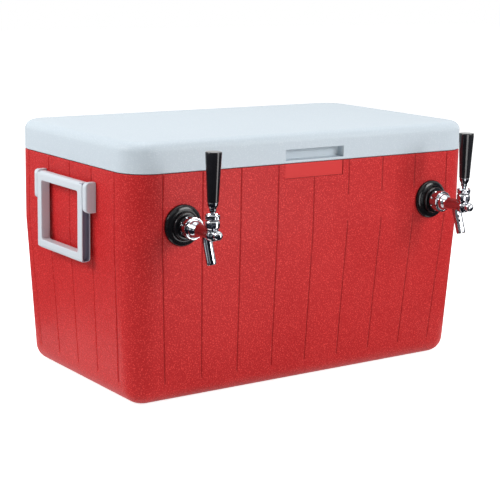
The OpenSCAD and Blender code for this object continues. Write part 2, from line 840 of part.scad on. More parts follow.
module lever_collar(side) {
    color(chrome) tap_frame(side) column_places() rotate_extrude($fn = FINE)
        polygon([[stud_radius + FIT, collar_low], [lever_stem + 0.2, collar_low], [lever_stem + 0.6, collar_low + 1],
                 [knob_foot_radius - 0.8, knob_low - 3], [knob_foot_radius - 0.6, knob_low],
                 [stud_radius + FIT, knob_low]]);
}

// Flared handle that screws onto the lever's stud
module tap_handle(side) {
    crown = 1.6;
    top = knob_low + knob_height;
    color(black) tap_frame(side) column_places() rotate_extrude($fn = FINE)
        polygon(concat([[stud_radius + FIT, knob_low], [knob_foot_radius - 0.4, knob_low],
                 [knob_foot_radius, knob_low + 0.6]],
                [for (i = [0:ARC_STEPS]) let (turn = 90 * i / ARC_STEPS)
                    [knob_top_radius - crown + crown * cos(turn), top - crown + crown * sin(turn)]],
                [[0, top], [0, knob_low + stud_length + 1], [stud_radius + FIT, knob_low + stud_length + 1]]));
}

// ---------- cooling coils ----------

coil_centre_x = tap_spread - coil_radius;
loop_rings = 24;
tube_sides = 6;
bend_rings = 5;
coil_pitch = (tap_height - coil_foot) / coil_turns;
coil_end = half_width + shank_end;

// Route of the right coil's tube as [point, sideways direction]: straight in from the tap's shank, down
// the helix, out along its tangent, up, and straight back to the inlet's shank.
function coil_route() =
    let (x = coil_centre_x + coil_radius,
         rise_low = coil_foot + riser_bend,
         rise_high = tap_height - riser_bend,
         rise_steps = 8,
         steps = coil_turns * loop_rings)
    concat(
        [for (y = [-coil_end, -coil_end + tube_diameter]) [[x, y, tap_height], [1, 0, 0]]],
        [for (i = [0:steps]) let (turn = 360 * i / loop_rings)
            [[coil_centre_x + coil_radius * cos(turn), coil_radius * sin(turn),
              tap_height - coil_pitch * i / loop_rings], [cos(turn), sin(turn), 0]]],
        [for (i = [0:bend_rings]) let (turn = 90 * i / bend_rings)
            [[x, riser_offset - riser_bend + riser_bend * sin(turn), rise_low - riser_bend * cos(turn)], [1, 0, 0]]],
        [for (i = [1:rise_steps - 1])
            [[x, riser_offset, rise_low + (rise_high - rise_low) * i / rise_steps], [1, 0, 0]]],
        [for (i = [0:bend_rings]) let (turn = 90 * i / bend_rings)
            [[x, riser_offset + riser_bend - riser_bend * cos(turn), rise_high + riser_bend * sin(turn)], [1, 0, 0]]],
        [for (y = [coil_end - tube_diameter, coil_end]) [[x, y, tap_height], [1, 0, 0]]]);

function unit(v) = v / norm(v);

// One closed tube along a route, as a skin of triangles
module tube(route, radius) {
    last = len(route) - 1;
    rings = [for (i = [0:last])
        let (ahead = unit(route[min(i + 1, last)][0] - route[max(i - 1, 0)][0]),
             sideways = route[i][1],
             upwards = cross(ahead, sideways))
        [for (k = [0:tube_sides - 1]) let (turn = 360 * k / tube_sides)
            route[i][0] + radius * (cos(turn) * sideways + sin(turn) * upwards)]];
    walls = [for (i = [0:last - 1], k = [0:tube_sides - 1])
        let (a = i * tube_sides + k, b = i * tube_sides + (k + 1) % tube_sides)
        each [[a, b, a + tube_sides], [b, b + tube_sides, a + tube_sides]]];
    first_cap = [for (k = [1:tube_sides - 2]) [0, k + 1, k]];
    end = last * tube_sides;
    last_cap = [for (k = [1:tube_sides - 2]) [end, end + k, end + k + 1]];
    polyhedron([for (ring = rings) each ring], concat(walls, first_cap, last_cap));
}

// Least gap between stretches of a tube that are more than a third of a loop apart along it
function least_gap(route, diameter) =
    min([for (i = [0:len(route) - 1], j = [i + 1 + loop_rings / 3:len(route) - 1])
        norm(route[i][0] - route[j][0])]) - diameter;

module cooling_coil(side) {
    route = coil_route();
    echo(str("least gap of the coil's tube to itself: ", least_gap(route, tube_diameter), " mm"));
    color(steel) mirror([side == LEFT ? 1 : 0, 0, 0]) tube(route, tube_diameter / 2);
}

coil_nut_flats = 28;
coil_nut_length = 14;
coil_nut_wall = 4;

// Cap nuts that hold the coil's ends against the shanks
module coil_nut() {
    low = shank_end - coil_nut_wall;
    difference() {
        boss(coil_nut_flats / 2 / cos(30), low, low + coil_nut_length, 6);
        boss(shank_radius + FIT, shank_end, low + coil_nut_length + PAST);
        boss(tube_diameter / 2 + FIT, low - PAST, shank_end + PAST);
    }
}

module coil_nuts() {
    color(steel) for (side = [LEFT, RIGHT]) {
        tap_frame(side) coil_nut();
        inlet_frame(side) coil_nut();
    }
}

// ---------- carry handles ----------

handle_out = handle_gap + bar_depth;
pivot_drop = 7.5;
pivot_z = handle_top - pivot_drop;
pivot_out = handle_gap + 6.5;
handle_pin_depth = 8;
bracket_play = 0.6;
bracket_out = handle_out - 0.6;
bracket_top = handle_top + 1;
peg_radius = 3;
peg_length = 9;

// A rectangle with rounded corners between two corners, drawn flat
module rounded_rectangle(low, high, radius) {
    inner = low + [radius, radius];
    size = high - low - 2 * [radius, radius];
    translate(inner - [radius, 0]) square([size.x + 2 * radius, size.y]);
    translate(inner - [0, radius]) square([size.x, size.y + 2 * radius]);
    for (x = [0, size.x], y = [0, size.y]) translate(inner + [x, y]) circle(radius, $fn = FINE);
}

module pivot_bores(radius, low, high) {
    for (side = [-1, 1]) mirror([side < 0 ? 1 : 0, 0, 0])
        translate([low, -pivot_out, pivot_z]) rotate([0, 90, 0]) cylinder(r = radius, h = high - low, $fn = FINE);
}

// Swinging handle: a rectangular frame with rounded edges and a channel down the outside of each arm
module carry_handle() {
    low = handle_top - handle_height;
    half = handle_width / 2;
    corner = 6;
    skin = 2;
    channel_depth = bar_width - 4.5;
    channel_top = bracket_top - bracket_height + 12;
    difference() {
        intersection() {
            rotate([90, 0, 0]) linear_extrude(handle_out + PAST) difference() {
                rounded_rectangle([-half, low], [half, handle_top], corner);
                rounded_rectangle([-half + bar_width, low + bar_width], [half - bar_width, handle_top - bar_width], 3);
            }
            side_plane() linear_extrude(2 * half + 2 * PAST, center = true)
                rounded_rectangle([handle_gap, low], [handle_out, handle_top], 5);
            translate([0, 0, low - PAST]) linear_extrude(handle_height + 2 * PAST)
                rounded_rectangle([-half, -handle_out], [half, -handle_gap], 2);
        }
        for (side = [-1, 1]) mirror([side < 0 ? 1 : 0, 0, 0])
            translate([half - channel_depth, 0, 0]) rotate([90, 0, 90]) linear_extrude(channel_depth + PAST)
                rounded_rectangle([-handle_out + skin, low + skin], [-handle_gap - skin, channel_top], 5);
        pivot_bores(handle_pin_radius + FIT, half - handle_pin_depth, half + PAST);
    }
}

// Pegs that hold a bracket in the end wall
module handle_pegs(extra) {
    for (side = [-1, 1], height = [0.2, 0.75])
        translate([side * (handle_width / 2 + bracket_play + bracket_width / 2), 0,
                   bracket_top - bracket_height * height])
            boss(peg_radius + extra, -peg_length - (extra > 0 ? 0.5 : 0), extra > 0 ? PAST : 0.5);
}

// The two cheeks between which a handle swings, with their pegs
module handle_brackets() {
    inner = handle_width / 2 + bracket_play;
    difference() {
        union() {
            for (side = [-1, 1]) mirror([side < 0 ? 1 : 0, 0, 0]) translate([inner, 0, 0]) intersection() {
                rotate([90, 0, 90]) linear_extrude(bracket_width) {
                    rounded_rectangle([-bracket_out, bracket_top - bracket_height], [0, bracket_top], 7);
                    translate([-7, bracket_top - bracket_height]) square([7, bracket_height]);
                }
                translate([0, 0, bracket_top - bracket_height - PAST]) linear_extrude(bracket_height + 2 * PAST) {
                    rounded_rectangle([0, -bracket_out], [bracket_width, 0], 3);
                    translate([0, -bracket_out / 2]) square([bracket_width, bracket_out / 2]);
                    translate([0, -bracket_out]) square([bracket_width / 2, bracket_out]);
                }
            }
            handle_pegs(0);
        }
        pivot_bores(handle_pin_radius, inner - PAST, inner + handle_pin_depth - 1);
    }
}

module handle_pivot_pins() {
    inner = handle_width / 2;
    color(steel) for (turn = [-90, 90]) on_wall(turn, half_length)
        pivot_bores(handle_pin_radius, inner - handle_pin_depth + 0.5, inner + bracket_play + handle_pin_depth - 1);
}

// ---------- drain ----------

drain_tube = 10.4;
drain_flange_radius = 22;
drain_flange_height = 3;
drain_spout = 16;
drain_pad_radius = 20;
drain_gasket_radius = 16;
drain_nut_radius = 16.5;
drain_wall_x = liner_half.x - liner_inset * (taper_start - drain_height) / (taper_start - floor_total);
// The pad stands far enough inside the wall for the gasket to clear the liner's rounded foot
foot_overlap = min(liner_fillet, max(0, floor_total + liner_fillet - (drain_height - drain_gasket_radius)));
foot_reach = liner_fillet - sqrt(pow(liner_fillet, 2) - pow(foot_overlap, 2));
drain_pad_stand = max(4, foot_reach + 0.5);
drain_pad_face = drain_wall_x - drain_pad_stand;
drain_pad_back = drain_wall_x + liner_wall;
drain_gasket_height = 1.5;
drain_nut_height = 5.5;
drain_end = cup_floor + drain_flange_height + drain_spout;

module drain_body() {
    inner_end = drain_pad_face - drain_gasket_height - drain_nut_height - 2;
    color(cool_white) drain_axis() rotate_extrude($fn = FINE) polygon([
        [drain_bore, inner_end], [drain_tube, inner_end], [drain_tube, cup_floor],
        [drain_flange_radius, cup_floor], [drain_flange_radius, cup_floor + drain_flange_height],
        [drain_thread, cup_floor + drain_flange_height], [drain_thread, drain_end - 1],
        [drain_thread - 1, drain_end], [drain_bore, drain_end]]);
}

module drain_gasket() {
    color(rubber_grey) drain_axis() translate([0, 0, drain_pad_face - drain_gasket_height]) difference() {
        cylinder(r = drain_gasket_radius, h = drain_gasket_height, $fn = FINE);
        translate([0, 0, -PAST]) cylinder(r = drain_tube + FIT, h = drain_gasket_height + 2 * PAST, $fn = FINE);
    }
}

module drain_nut() {
    low = drain_pad_face - drain_gasket_height - drain_nut_height;
    color(cool_white) drain_axis() translate([0, 0, low]) difference() {
        cylinder(r = drain_nut_radius, h = drain_nut_height, $fn = 6);
        translate([0, 0, -PAST]) cylinder(r = drain_tube + FIT, h = drain_nut_height + 2 * PAST, $fn = FINE);
    }
}

// Screw cap over the drain, with grip ribs
module drain_cap() {
    low = cup_floor + drain_flange_height + 0.6;
    outer = drain_thread + 3;
    top = drain_end + 0.4 + 3;
    ribs = 16;
    color(cool_white) drain_axis() difference() {
        union() {
            translate([0, 0, low]) cylinder(r = outer, h = top - low - 1, $fn = FINE);
            translate([0, 0, top - 1]) cylinder(r1 = outer, r2 = outer - 1, h = 1, $fn = FINE);
            for (i = [0:ribs - 1]) rotate([0, 0, i * 360 / ribs]) translate([outer, 0, low])
                cylinder(r = 1, h = top - low - 2, $fn = 16);
        }
        translate([0, 0, low - PAST]) cylinder(r = drain_thread + FIT, h = drain_end + 0.4 - low + PAST, $fn = FINE);
    }
}

// ---------- assembly ----------

outer_shell();
insulation_foam();
inner_liner();
lid_shell();
lid_foam();
lid_liner();
lid_gasket();
hinge_body_leaf(LEFT);  // hinge_body_leaf_left
hinge_body_leaf(RIGHT);  // hinge_body_leaf_right
hinge_lid_leaf(LEFT);  // hinge_lid_leaf_left
hinge_lid_leaf(RIGHT);  // hinge_lid_leaf_right
hinge_pin(LEFT);  // hinge_pin_left
hinge_pin(RIGHT);  // hinge_pin_right
hinge_body_screws();
hinge_lid_screws();
tap_flange(LEFT);  // tap_flange_left
tap_flange(RIGHT);  // tap_flange_right
tap_shank(LEFT);  // tap_shank_left
tap_shank(RIGHT);  // tap_shank_right
coupling_nut(LEFT);  // coupling_nut_left
coupling_nut(RIGHT);  // coupling_nut_right
coupling_gaskets();
shank_nuts();
faucet_body(LEFT);  // faucet_body_left
faucet_body(RIGHT);  // faucet_body_right
valve_shaft(LEFT);  // valve_shaft_left
valve_shaft(RIGHT);  // valve_shaft_right
seat_washer(LEFT);  // seat_washer_left
seat_washer(RIGHT);  // seat_washer_right
tap_lever(LEFT);  // tap_lever_left
tap_lever(RIGHT);  // tap_lever_right
ball_washer(LEFT);  // ball_washer_left
ball_washer(RIGHT);  // ball_washer_right
bonnet(LEFT);  // bonnet_left
bonnet(RIGHT);  // bonnet_right
lever_collar(LEFT);  // lever_collar_left
lever_collar(RIGHT);  // lever_collar_right
tap_handle(LEFT);  // tap_handle_left
tap_handle(RIGHT);  // tap_handle_right
inlet_flange(LEFT);  // inlet_flange_left
inlet_flange(RIGHT);  // inlet_flange_right
inlet_shank(LEFT);  // inlet_shank_left
inlet_shank(RIGHT);  // inlet_shank_right
cooling_coil(LEFT);  // cooling_coil_left
cooling_coil(RIGHT);  // cooling_coil_right
coil_nuts();
color(cool_white) on_left_end() carry_handle();  // carry_handle_left
color(cool_white) on_right_end() carry_handle();  // carry_handle_right
color(cool_white) on_left_end() handle_brackets();  // handle_brackets_left
color(cool_white) on_right_end() handle_brackets();  // handle_brackets_right
handle_pivot_pins();
drain_body();
drain_gasket();
drain_nut();
drain_cap();
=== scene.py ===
# %% [markdown]
# # A jockey box, dressed
# A jockey box is a picnic chest that chills draught beer: two taps on its front wall, two coils of
# steel tube in the ice inside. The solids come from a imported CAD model. This script gives them their
# looks: it computes softer surfaces for what shows most, and paints every piece.

# %% Load the frame
import json
import math

import bmesh
import bpy
import numpy as np
from mathutils import Matrix, Vector


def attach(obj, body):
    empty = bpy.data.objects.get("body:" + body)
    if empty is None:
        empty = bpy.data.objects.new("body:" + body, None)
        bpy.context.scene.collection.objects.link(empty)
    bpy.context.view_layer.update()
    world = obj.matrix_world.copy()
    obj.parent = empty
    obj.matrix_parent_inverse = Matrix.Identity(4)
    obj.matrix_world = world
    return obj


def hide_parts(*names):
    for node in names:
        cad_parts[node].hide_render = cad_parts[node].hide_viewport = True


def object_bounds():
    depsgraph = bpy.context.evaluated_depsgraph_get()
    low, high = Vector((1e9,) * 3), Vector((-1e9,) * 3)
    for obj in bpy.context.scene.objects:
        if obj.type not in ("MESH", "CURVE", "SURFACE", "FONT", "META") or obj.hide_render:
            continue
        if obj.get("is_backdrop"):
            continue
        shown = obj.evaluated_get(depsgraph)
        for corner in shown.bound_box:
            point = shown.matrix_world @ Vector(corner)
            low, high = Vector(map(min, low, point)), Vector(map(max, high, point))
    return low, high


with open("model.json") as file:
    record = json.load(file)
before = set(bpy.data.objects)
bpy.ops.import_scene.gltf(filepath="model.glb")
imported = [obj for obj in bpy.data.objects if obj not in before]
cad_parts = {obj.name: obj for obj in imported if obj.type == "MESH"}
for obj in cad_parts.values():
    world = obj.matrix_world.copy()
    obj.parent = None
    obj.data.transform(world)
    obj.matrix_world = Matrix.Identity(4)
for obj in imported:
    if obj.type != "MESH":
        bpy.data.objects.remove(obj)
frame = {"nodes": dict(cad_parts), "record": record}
cad_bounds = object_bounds()
nodes = frame["nodes"]

# %% [markdown]
# ## The camera
# The view was fitted to the photograph: its edges vanish where a lens of about 102 mm, on a 36 mm
# frame, puts them. The camera's axes are written from its turn, its dip and a slight roll.

# %% Camera
PHOTO_SIZE = 500
FOCAL_PIXELS = 1414.172
CAMERA_PLACE = (-1.255539, -1.800106, 0.621955)
CAMERA_TURN, CAMERA_DIP, CAMERA_ROLL = 0.613, 0.203, 0.019


def camera_axes(turn, dip, roll):
    """Right, up and back of a camera that looks along (sin turn cos dip, cos turn cos dip, -sin dip)."""
    ahead = Vector((math.sin(turn) * math.cos(dip), math.cos(turn) * math.cos(dip), -math.sin(dip)))
    level = Vector((math.cos(turn), -math.sin(turn), 0.0))
    upright = level.cross(ahead)
    right = level * math.cos(roll) + upright * math.sin(roll)
    return right, right.cross(ahead), -ahead


def add_camera():
    data = bpy.data.cameras.new("photo_camera")
    data.sensor_width = 36.0
    data.lens = 36.0 * FOCAL_PIXELS / PHOTO_SIZE
    data.clip_end = 50.0
    camera = bpy.data.objects.new("photo_camera", data)
    bpy.context.scene.collection.objects.link(camera)
    axes = Matrix(camera_axes(CAMERA_TURN, CAMERA_DIP, CAMERA_ROLL)).transposed()
    camera.matrix_world = Matrix.Translation(CAMERA_PLACE) @ axes.to_4x4()
    bpy.context.scene.camera = camera
    return camera


camera = add_camera()
print(f"camera lens {camera.data.lens:.1f} mm")

# %% [markdown]
# ## Light and surroundings
# The photograph is a studio shot on white. One soft lamp lights the left end and one the front, from so
# far round that the upright corner between them stays darker. Chrome only looks like chrome when it has
# something dark to mirror, so dark cards that only reflections see stand and lie round the front, and
# one bright panel among them gives the streak on the black handles.

# %% Lamps
VIEW_SIDE = Vector((-0.573, -0.820, 0.0))   # from the chest to the camera
RIGHT_SIDE = Vector((0.820, -0.573, 0.0))   # to the camera's right


def add_lamp(name, place, target, size, watts):
    """Area lamp at place that faces target; size is (width, height) in metres."""
    data = bpy.data.lights.new(name, "AREA")
    data.shape = "RECTANGLE"
    data.size, data.size_y = size
    data.energy = watts
    lamp = bpy.data.objects.new(name, data)
    lamp.location = place
    lamp.rotation_euler = (Vector(target) - Vector(place)).to_track_quat("-Z", "Y").to_euler()
    bpy.context.scene.collection.objects.link(lamp)


def around(angle, distance, height):
    """Place at an angle in degrees from the camera's side of the chest, positive to its right."""
    turn = math.radians(angle)
    flat = VIEW_SIDE * math.cos(turn) + RIGHT_SIDE * math.sin(turn)
    return (flat.x * distance, flat.y * distance, height)


MIDDLE = (0.0, 0.0, 0.2)
add_lamp("key_lamp", around(-69, 2.3, 1.6), MIDDLE, (1.2, 1.0), 47.0)
add_lamp("fill_lamp", around(63, 2.4, 1.3), MIDDLE, (1.2, 1.0), 39.0)
add_lamp("top_lamp", (0.1, 0.2, 2.4), MIDDLE, (1.8, 1.4), 24.0)

# %% Node tools
def feed(tree, node, inputs):
    """Sets a node's inputs, by name or number, to constants or to the outputs of other nodes."""
    for key, value in inputs.items():
        if isinstance(value, bpy.types.NodeSocket):
            tree.links.new(value, node.inputs[key])
        else:
            node.inputs[key].default_value = value
    return node


def add_node(tree, kind, inputs=None, **settings):
    node = tree.nodes.new(f"ShaderNode{kind}")
    for label, value in settings.items():
        setattr(node, label, value)
    return feed(tree, node, inputs or {})


def math_node(tree, operation, first, second, clamp=False):
    """Output socket of a math node; each operand is a socket or a number."""
    return add_node(tree, "Math", {0: first, 1: second}, operation=operation, use_clamp=clamp).outputs[0]


def ranged(tree, value, low, high):
    """Value from 0..1 carried to low..high."""
    return add_node(tree, "MapRange", {"Value": value, "To Min": low, "To Max": high}).outputs["Result"]


def camera_or_mirror(tree):
    """Socket that is 1 for rays that come from the camera, a reflection or glass."""
    rays = add_node(tree, "LightPath").outputs
    seen = math_node(tree, "MAXIMUM", rays["Is Camera Ray"], rays["Is Glossy Ray"])
    return math_node(tree, "MAXIMUM", seen, rays["Is Transmission Ray"])


def new_material(name):
    """Material of one Principled shader, its node tree and the shader."""
    material = bpy.data.materials.new(name)
    material.use_nodes = True
    return material, material.node_tree, material.node_tree.nodes["Principled BSDF"]


# %% World: white to the camera and in reflections, a plain pale light otherwise
AMBIENT, WHITE = 0.30, (1.0, 1.0, 1.0, 1.0)


def set_world():
    world = bpy.data.worlds.new("white_studio")
    bpy.context.scene.world = world
    world.use_nodes = True
    tree = world.node_tree
    strength = ranged(tree, camera_or_mirror(tree), AMBIENT, 1.0)
    feed(tree, tree.nodes["Background"], {"Color": WHITE, "Strength": strength})


set_world()
bpy.context.scene.view_settings.view_transform = "Standard"

# %% Floor that fades to white and keeps a soft shadow
FLOOR_GLOW, FLOOR_HALF = 0.8, 9.0
SQUARE = ((-1, -1), (1, -1), (1, 1), (-1, 1))


def stage_plane(name, corners, material):
    mesh = bpy.data.meshes.new(name)
    mesh.from_pydata(corners, [], [tuple(range(len(corners)))])
    mesh.materials.append(material)
    plane = bpy.data.objects.new(name, mesh)
    bpy.context.scene.collection.objects.link(plane)
    plane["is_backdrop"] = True
    return plane


def floor_material():
    material, tree, shader = new_material("studio_floor")
    tree.nodes.remove(shader)
    paint = add_node(tree, "BsdfDiffuse", {"Color": (0.82, 0.82, 0.82, 1.0)})
    strength = math_node(tree, "MULTIPLY", camera_or_mirror(tree), FLOOR_GLOW)
    glow = add_node(tree, "Emission", {"Strength": strength})
    both = add_node(tree, "AddShader", {0: paint.outputs[0], 1: glow.outputs[0]})
    feed(tree, tree.nodes["Material Output"], {"Surface": both.outputs[0]})
    return material


stage_plane("studio_floor", [(x * FLOOR_HALF, y * FLOOR_HALF, 0) for x, y in SQUARE], floor_material())

# %% Cards that only mirrors see
def card_material(name, colour, glow):
    material, tree, shader = new_material(name)
    feed(tree, shader, {"Base Color": (*colour, 1.0), "Roughness": 1.0, "Specular IOR Level": 0.0,
                        "Emission Color": WHITE, "Emission Strength": glow})
    return material


def mirror_card(name, corners, material):
    card = stage_plane(name, corners, material)
    card.visible_camera = card.visible_diffuse = card.visible_shadow = False
    card.visible_transmission = False


def standing_card(name, first, last, low, high, distance, material):
    """Upright card between two angles from the camera's side of the chest."""
    a, b = around(first, distance, low), around(last, distance, low)
    mirror_card(name, [a, b, (b[0], b[1], high), (a[0], a[1], high)], material)


def lying_card(name, first, last, near, far, material, step=6):
    """Sector of a ring on the floor between two angles from the camera's side of the chest."""
    angles = list(range(first, last + 1, step))
    inner = [around(angle, near, CARD_RISE) for angle in angles]
    outer = [around(angle, far, CARD_RISE) for angle in reversed(angles)]
    mirror_card(name, inner + outer, material)


CARD_RISE = 0.002
DARK_CARD = card_material("dark_card", (0.012, 0.014, 0.022), 0.0)
GREY_CARD = card_material("grey_card", (0.13, 0.14, 0.17), 0.0)
BRIGHT_PANEL = card_material("bright_panel", (0.8, 0.8, 0.8), 3.4)
STANDING = [(-98, -78, DARK_CARD), (-64, -24, GREY_CARD), (-18, 50, DARK_CARD), (78, 104, GREY_CARD)]
LYING = [(0.44, 1.7, DARK_CARD), (1.7, 2.88, GREY_CARD)]
for number, (first, last, card) in enumerate(STANDING):
    standing_card(f"standing_card_{number}", first, last, 0.02, 1.5, 2.9, card)
for number, (near, far, card) in enumerate(LYING):
    lying_card(f"lying_card_{number}", -150, 144, near, far, card)
mirror_card("near_card", [(0.30 * x, 0.12 * y - 0.31, CARD_RISE) for x, y in SQUARE], DARK_CARD)
mirror_card("bright_panel", [(0.058 + 0.12 * x, -0.637, 0.23 + 0.19 * y) for x, y in SQUARE], BRIGHT_PANEL)
print(f"{len(STANDING) + len(LYING) + 1} dark cards, 1 bright panel, 3 lamps")

# %% [markdown]
# ## Shared shader groups
# Moulded coolers have a pebbled skin, so that scuffs do not show. One group makes that grain as a
# height; a second one gives slow variation, the unevenness that handling and moulding leave.

# %% Group tools
def group_with(name, inputs, outputs):
    """Empty node group with float inputs {name: default} and outputs {name: socket type}."""
    tree = bpy.data.node_groups.new(name, "ShaderNodeTree")
    for label, value in inputs.items():
        socket = tree.interface.new_socket(label, in_out="INPUT", socket_type="NodeSocketFloat")
        socket.default_value = value
    for label, kind in outputs.items():
        tree.interface.new_socket(label, in_out="OUTPUT", socket_type=kind)
    return tree, tree.nodes.new("NodeGroupInput"), tree.nodes.new("NodeGroupOutput")


def noise_node(tree, place, scale, detail=2.0, roughness=0.5):
    """Noise over object coordinates; scale is a socket or a number of cells per metre."""
    inputs = {"Vector": place, "Scale": scale, "Detail": detail, "Roughness": roughness}
    return add_node(tree, "TexNoise", inputs).outputs["Fac"]


# %% Pebble grain
def pebble_group():
    """Height of a pebbled skin: rounded cells, softened by a finer noise."""
    tree, entry, result = group_with("pebble_grain", {"Cells per metre": 500.0, "Fine share": 0.35},
                                     {"Height": "NodeSocketFloat", "Tops": "NodeSocketFloat"})
    place, per_metre = add_node(tree, "TexCoord").outputs["Object"], entry.outputs["Cells per metre"]
    cells = add_node(tree, "TexVoronoi", {"Vector": place, "Scale": per_metre, "Smoothness": 0.6},
                     feature="SMOOTH_F1")
    domes = math_node(tree, "SUBTRACT", 1.0, cells.outputs["Distance"], clamp=True)
    fine = noise_node(tree, place, math_node(tree, "MULTIPLY", per_metre, 1.7), detail=3.0)
    height = add_node(tree, "Mix", {"Factor": entry.outputs["Fine share"], 2: domes, 3: fine}).outputs[0]
    # Tops is 1 where the grain's cells rise highest; the plastics paint these paler, a painted highlight
    tops = math_node(tree, "MULTIPLY", math_node(tree, "SUBTRACT", height, 0.55), 3.2, clamp=True)
    feed(tree, result, {"Height": height, "Tops": tops})
    return tree


def handling_group():
    """Slow unevenness: broad patches and a fine scatter, each from 0 to 1 and evenly about one half."""
    tree, entry, result = group_with("handling_marks", {"Patches per metre": 9.0},
                                     {"Patches": "NodeSocketFloat", "Scatter": "NodeSocketFloat"})
    place = add_node(tree, "TexCoord").outputs["Object"]
    feed(tree, result, {"Patches": noise_node(tree, place, entry.outputs["Patches per metre"], 3.0),
                        "Scatter": noise_node(tree, place, 160.0, 4.0, 0.65)})
    return tree


PEBBLE = pebble_group()
HANDLING = handling_group()

# %% [markdown]
# ## Materials
# Each material is one Principled shader. The groups feed its colour, roughness and normal, and what is
# the same all over stays on the shader's own sockets, so that an export can read it.

# %% Material tools
def use_group(tree, group, **values):
    """Outputs of a shared group, whose inputs are named here with underscores for spaces."""
    inputs = {label.replace("_", " "): value for label, value in values.items()}
    return add_node(tree, "Group", inputs, node_tree=group).outputs


def mixed_colour(tree, factor, low, high):
    """Colour between two others, each a socket or a linear RGB colour."""
    low, high = ((*colour, 1.0) if isinstance(colour, tuple) else colour for colour in (low, high))
    return add_node(tree, "Mix", {"Factor": factor, 6: low, 7: high}, data_type="RGBA").outputs[2]


def bumped(tree, height, depth):
    """Normal of a surface with this height, depth metres deep."""
    inputs = {"Distance": depth, "Strength": 1.0, "Height": height}
    return add_node(tree, "Bump", inputs).outputs["Normal"]


def point_attribute(tree, name):
    """Value that a piece's own points carry, and 0 on a piece that has none."""
    return add_node(tree, "Attribute", attribute_name=name).outputs["Fac"]


# %% Moulded plastics
# TOP_SHARE is how far the painted highlight on the grain's tops lightens the colour; smooth parts have no
# tops and take the even share POLISHED_TOPS of that painted highlight instead
PATCH_SHARE, TOP_SHARE, POLISHED_TOPS = 0.22, 0.95, 0.3


def moulded_plastic(name, low, high, cells, depth, roughness, specular=0.4, polish_attribute=False,
                    shade_tint=(0.42, 0.36, 0.46)):
    """Pebbled plastic between two colours: the tops of the grain are painted paler, a painted highlight
    where light would catch them. Where the piece's own attribute 'polish' is 1 the mould was smooth, and
    where its shade attribute is 1, in a narrow groove or channel, painted shade makes it darker."""
    material, tree, shader = new_material(name)
    grain, marks = use_group(tree, PEBBLE, Cells_per_metre=cells), use_group(tree, HANDLING)
    height, tops = grain["Height"], grain["Tops"]
    if polish_attribute:
        polish = point_attribute(tree, "polish")
        pebbled = math_node(tree, "SUBTRACT", 1.0, polish, clamp=True)
        height = math_node(tree, "MULTIPLY", height, pebbled)
        tops = math_node(tree, "MULTIPLY", tops, pebbled)
        tops = math_node(tree, "ADD", tops, math_node(tree, "MULTIPLY", polish, POLISHED_TOPS))
    patches = math_node(tree, "MULTIPLY", marks["Patches"], PATCH_SHARE)
    # painted highlight: the grain's tops carry most of the step from the low to the high colour
    shade = math_node(tree, "ADD", patches, math_node(tree, "MULTIPLY", tops, TOP_SHARE), clamp=True)
    unshaded = mixed_colour(tree, shade, low, high)
    # painted shade: a darker, bluish copy of the low colour where the piece's shade attribute is 1
    shade_paint = tuple(channel * share for channel, share in zip(low, shade_tint))
    colour = mixed_colour(tree, point_attribute(tree, "painted_shade"), unshaded, shade_paint)
    dullness = ranged(tree, marks["Scatter"], roughness - 0.06, roughness + 0.08)
    feed(tree, shader, {"Base Color": colour, "Roughness": dullness, "Specular IOR Level": specular,
                        "Normal": bumped(tree, height, depth)})
    return material


RED_PLASTIC = moulded_plastic("pebbled_red_plastic", (0.42, 0.006, 0.008), (0.89, 0.070, 0.064),
                              450.0, 0.0007, 0.48, specular=0.22, polish_attribute=True)
WHITE_PLASTIC = moulded_plastic("pebbled_white_plastic", (0.50, 0.57, 0.625), (0.60, 0.66, 0.705),
                                460.0, 0.00018, 0.46, specular=0.3, polish_attribute=True)
TRIM_PLASTIC = moulded_plastic("smooth_white_trim", (0.55, 0.60, 0.65), (0.64, 0.68, 0.72),
                               900.0, 0.00003, 0.36)
LINER_PLASTIC = moulded_plastic("white_liner_plastic", (0.74, 0.76, 0.77), (0.80, 0.82, 0.83),
                                300.0, 0.00005, 0.30)

# %% Foam and rubber
def matt(name, group, output, low, high, roughness, specular, depth, **values):
    """Dull stuff whose colour and height both follow one output of a shared group."""
    material, tree, shader = new_material(name)
    pattern = use_group(tree, group, **values)[output]
    feed(tree, shader, {"Base Color": mixed_colour(tree, pattern, low, high), "Roughness": roughness,
                        "Specular IOR Level": specular, "Normal": bumped(tree, pattern, depth)})
    return material


FOAM = matt("insulating_foam", PEBBLE, "Height", (0.62, 0.52, 0.30), (0.86, 0.77, 0.52), 0.95, 0.2, 0.0006,
            Cells_per_metre=900.0)
RUBBER = matt("black_rubber", HANDLING, "Scatter", (0.018, 0.018, 0.019), (0.05, 0.05, 0.052), 0.78, 0.3,
              0.00015)

# %% Black plastic and metals
def polished(name, low, high, roughness, spread, ripple, patches, specular=0.5, **more):
    """Metal or plastic whose polish wanders slowly, with a faint ripple left by casting and buffing."""
    material, tree, shader = new_material(name)
    marks = use_group(tree, HANDLING, Patches_per_metre=patches)
    wandering = ranged(tree, marks["Scatter"], roughness, roughness + spread)
    feed(tree, shader, {"Base Color": mixed_colour(tree, marks["Patches"], low, high),
                        "Roughness": wandering, "Specular IOR Level": specular,
                        "Normal": bumped(tree, marks["Patches"], ripple), **more})
    return material


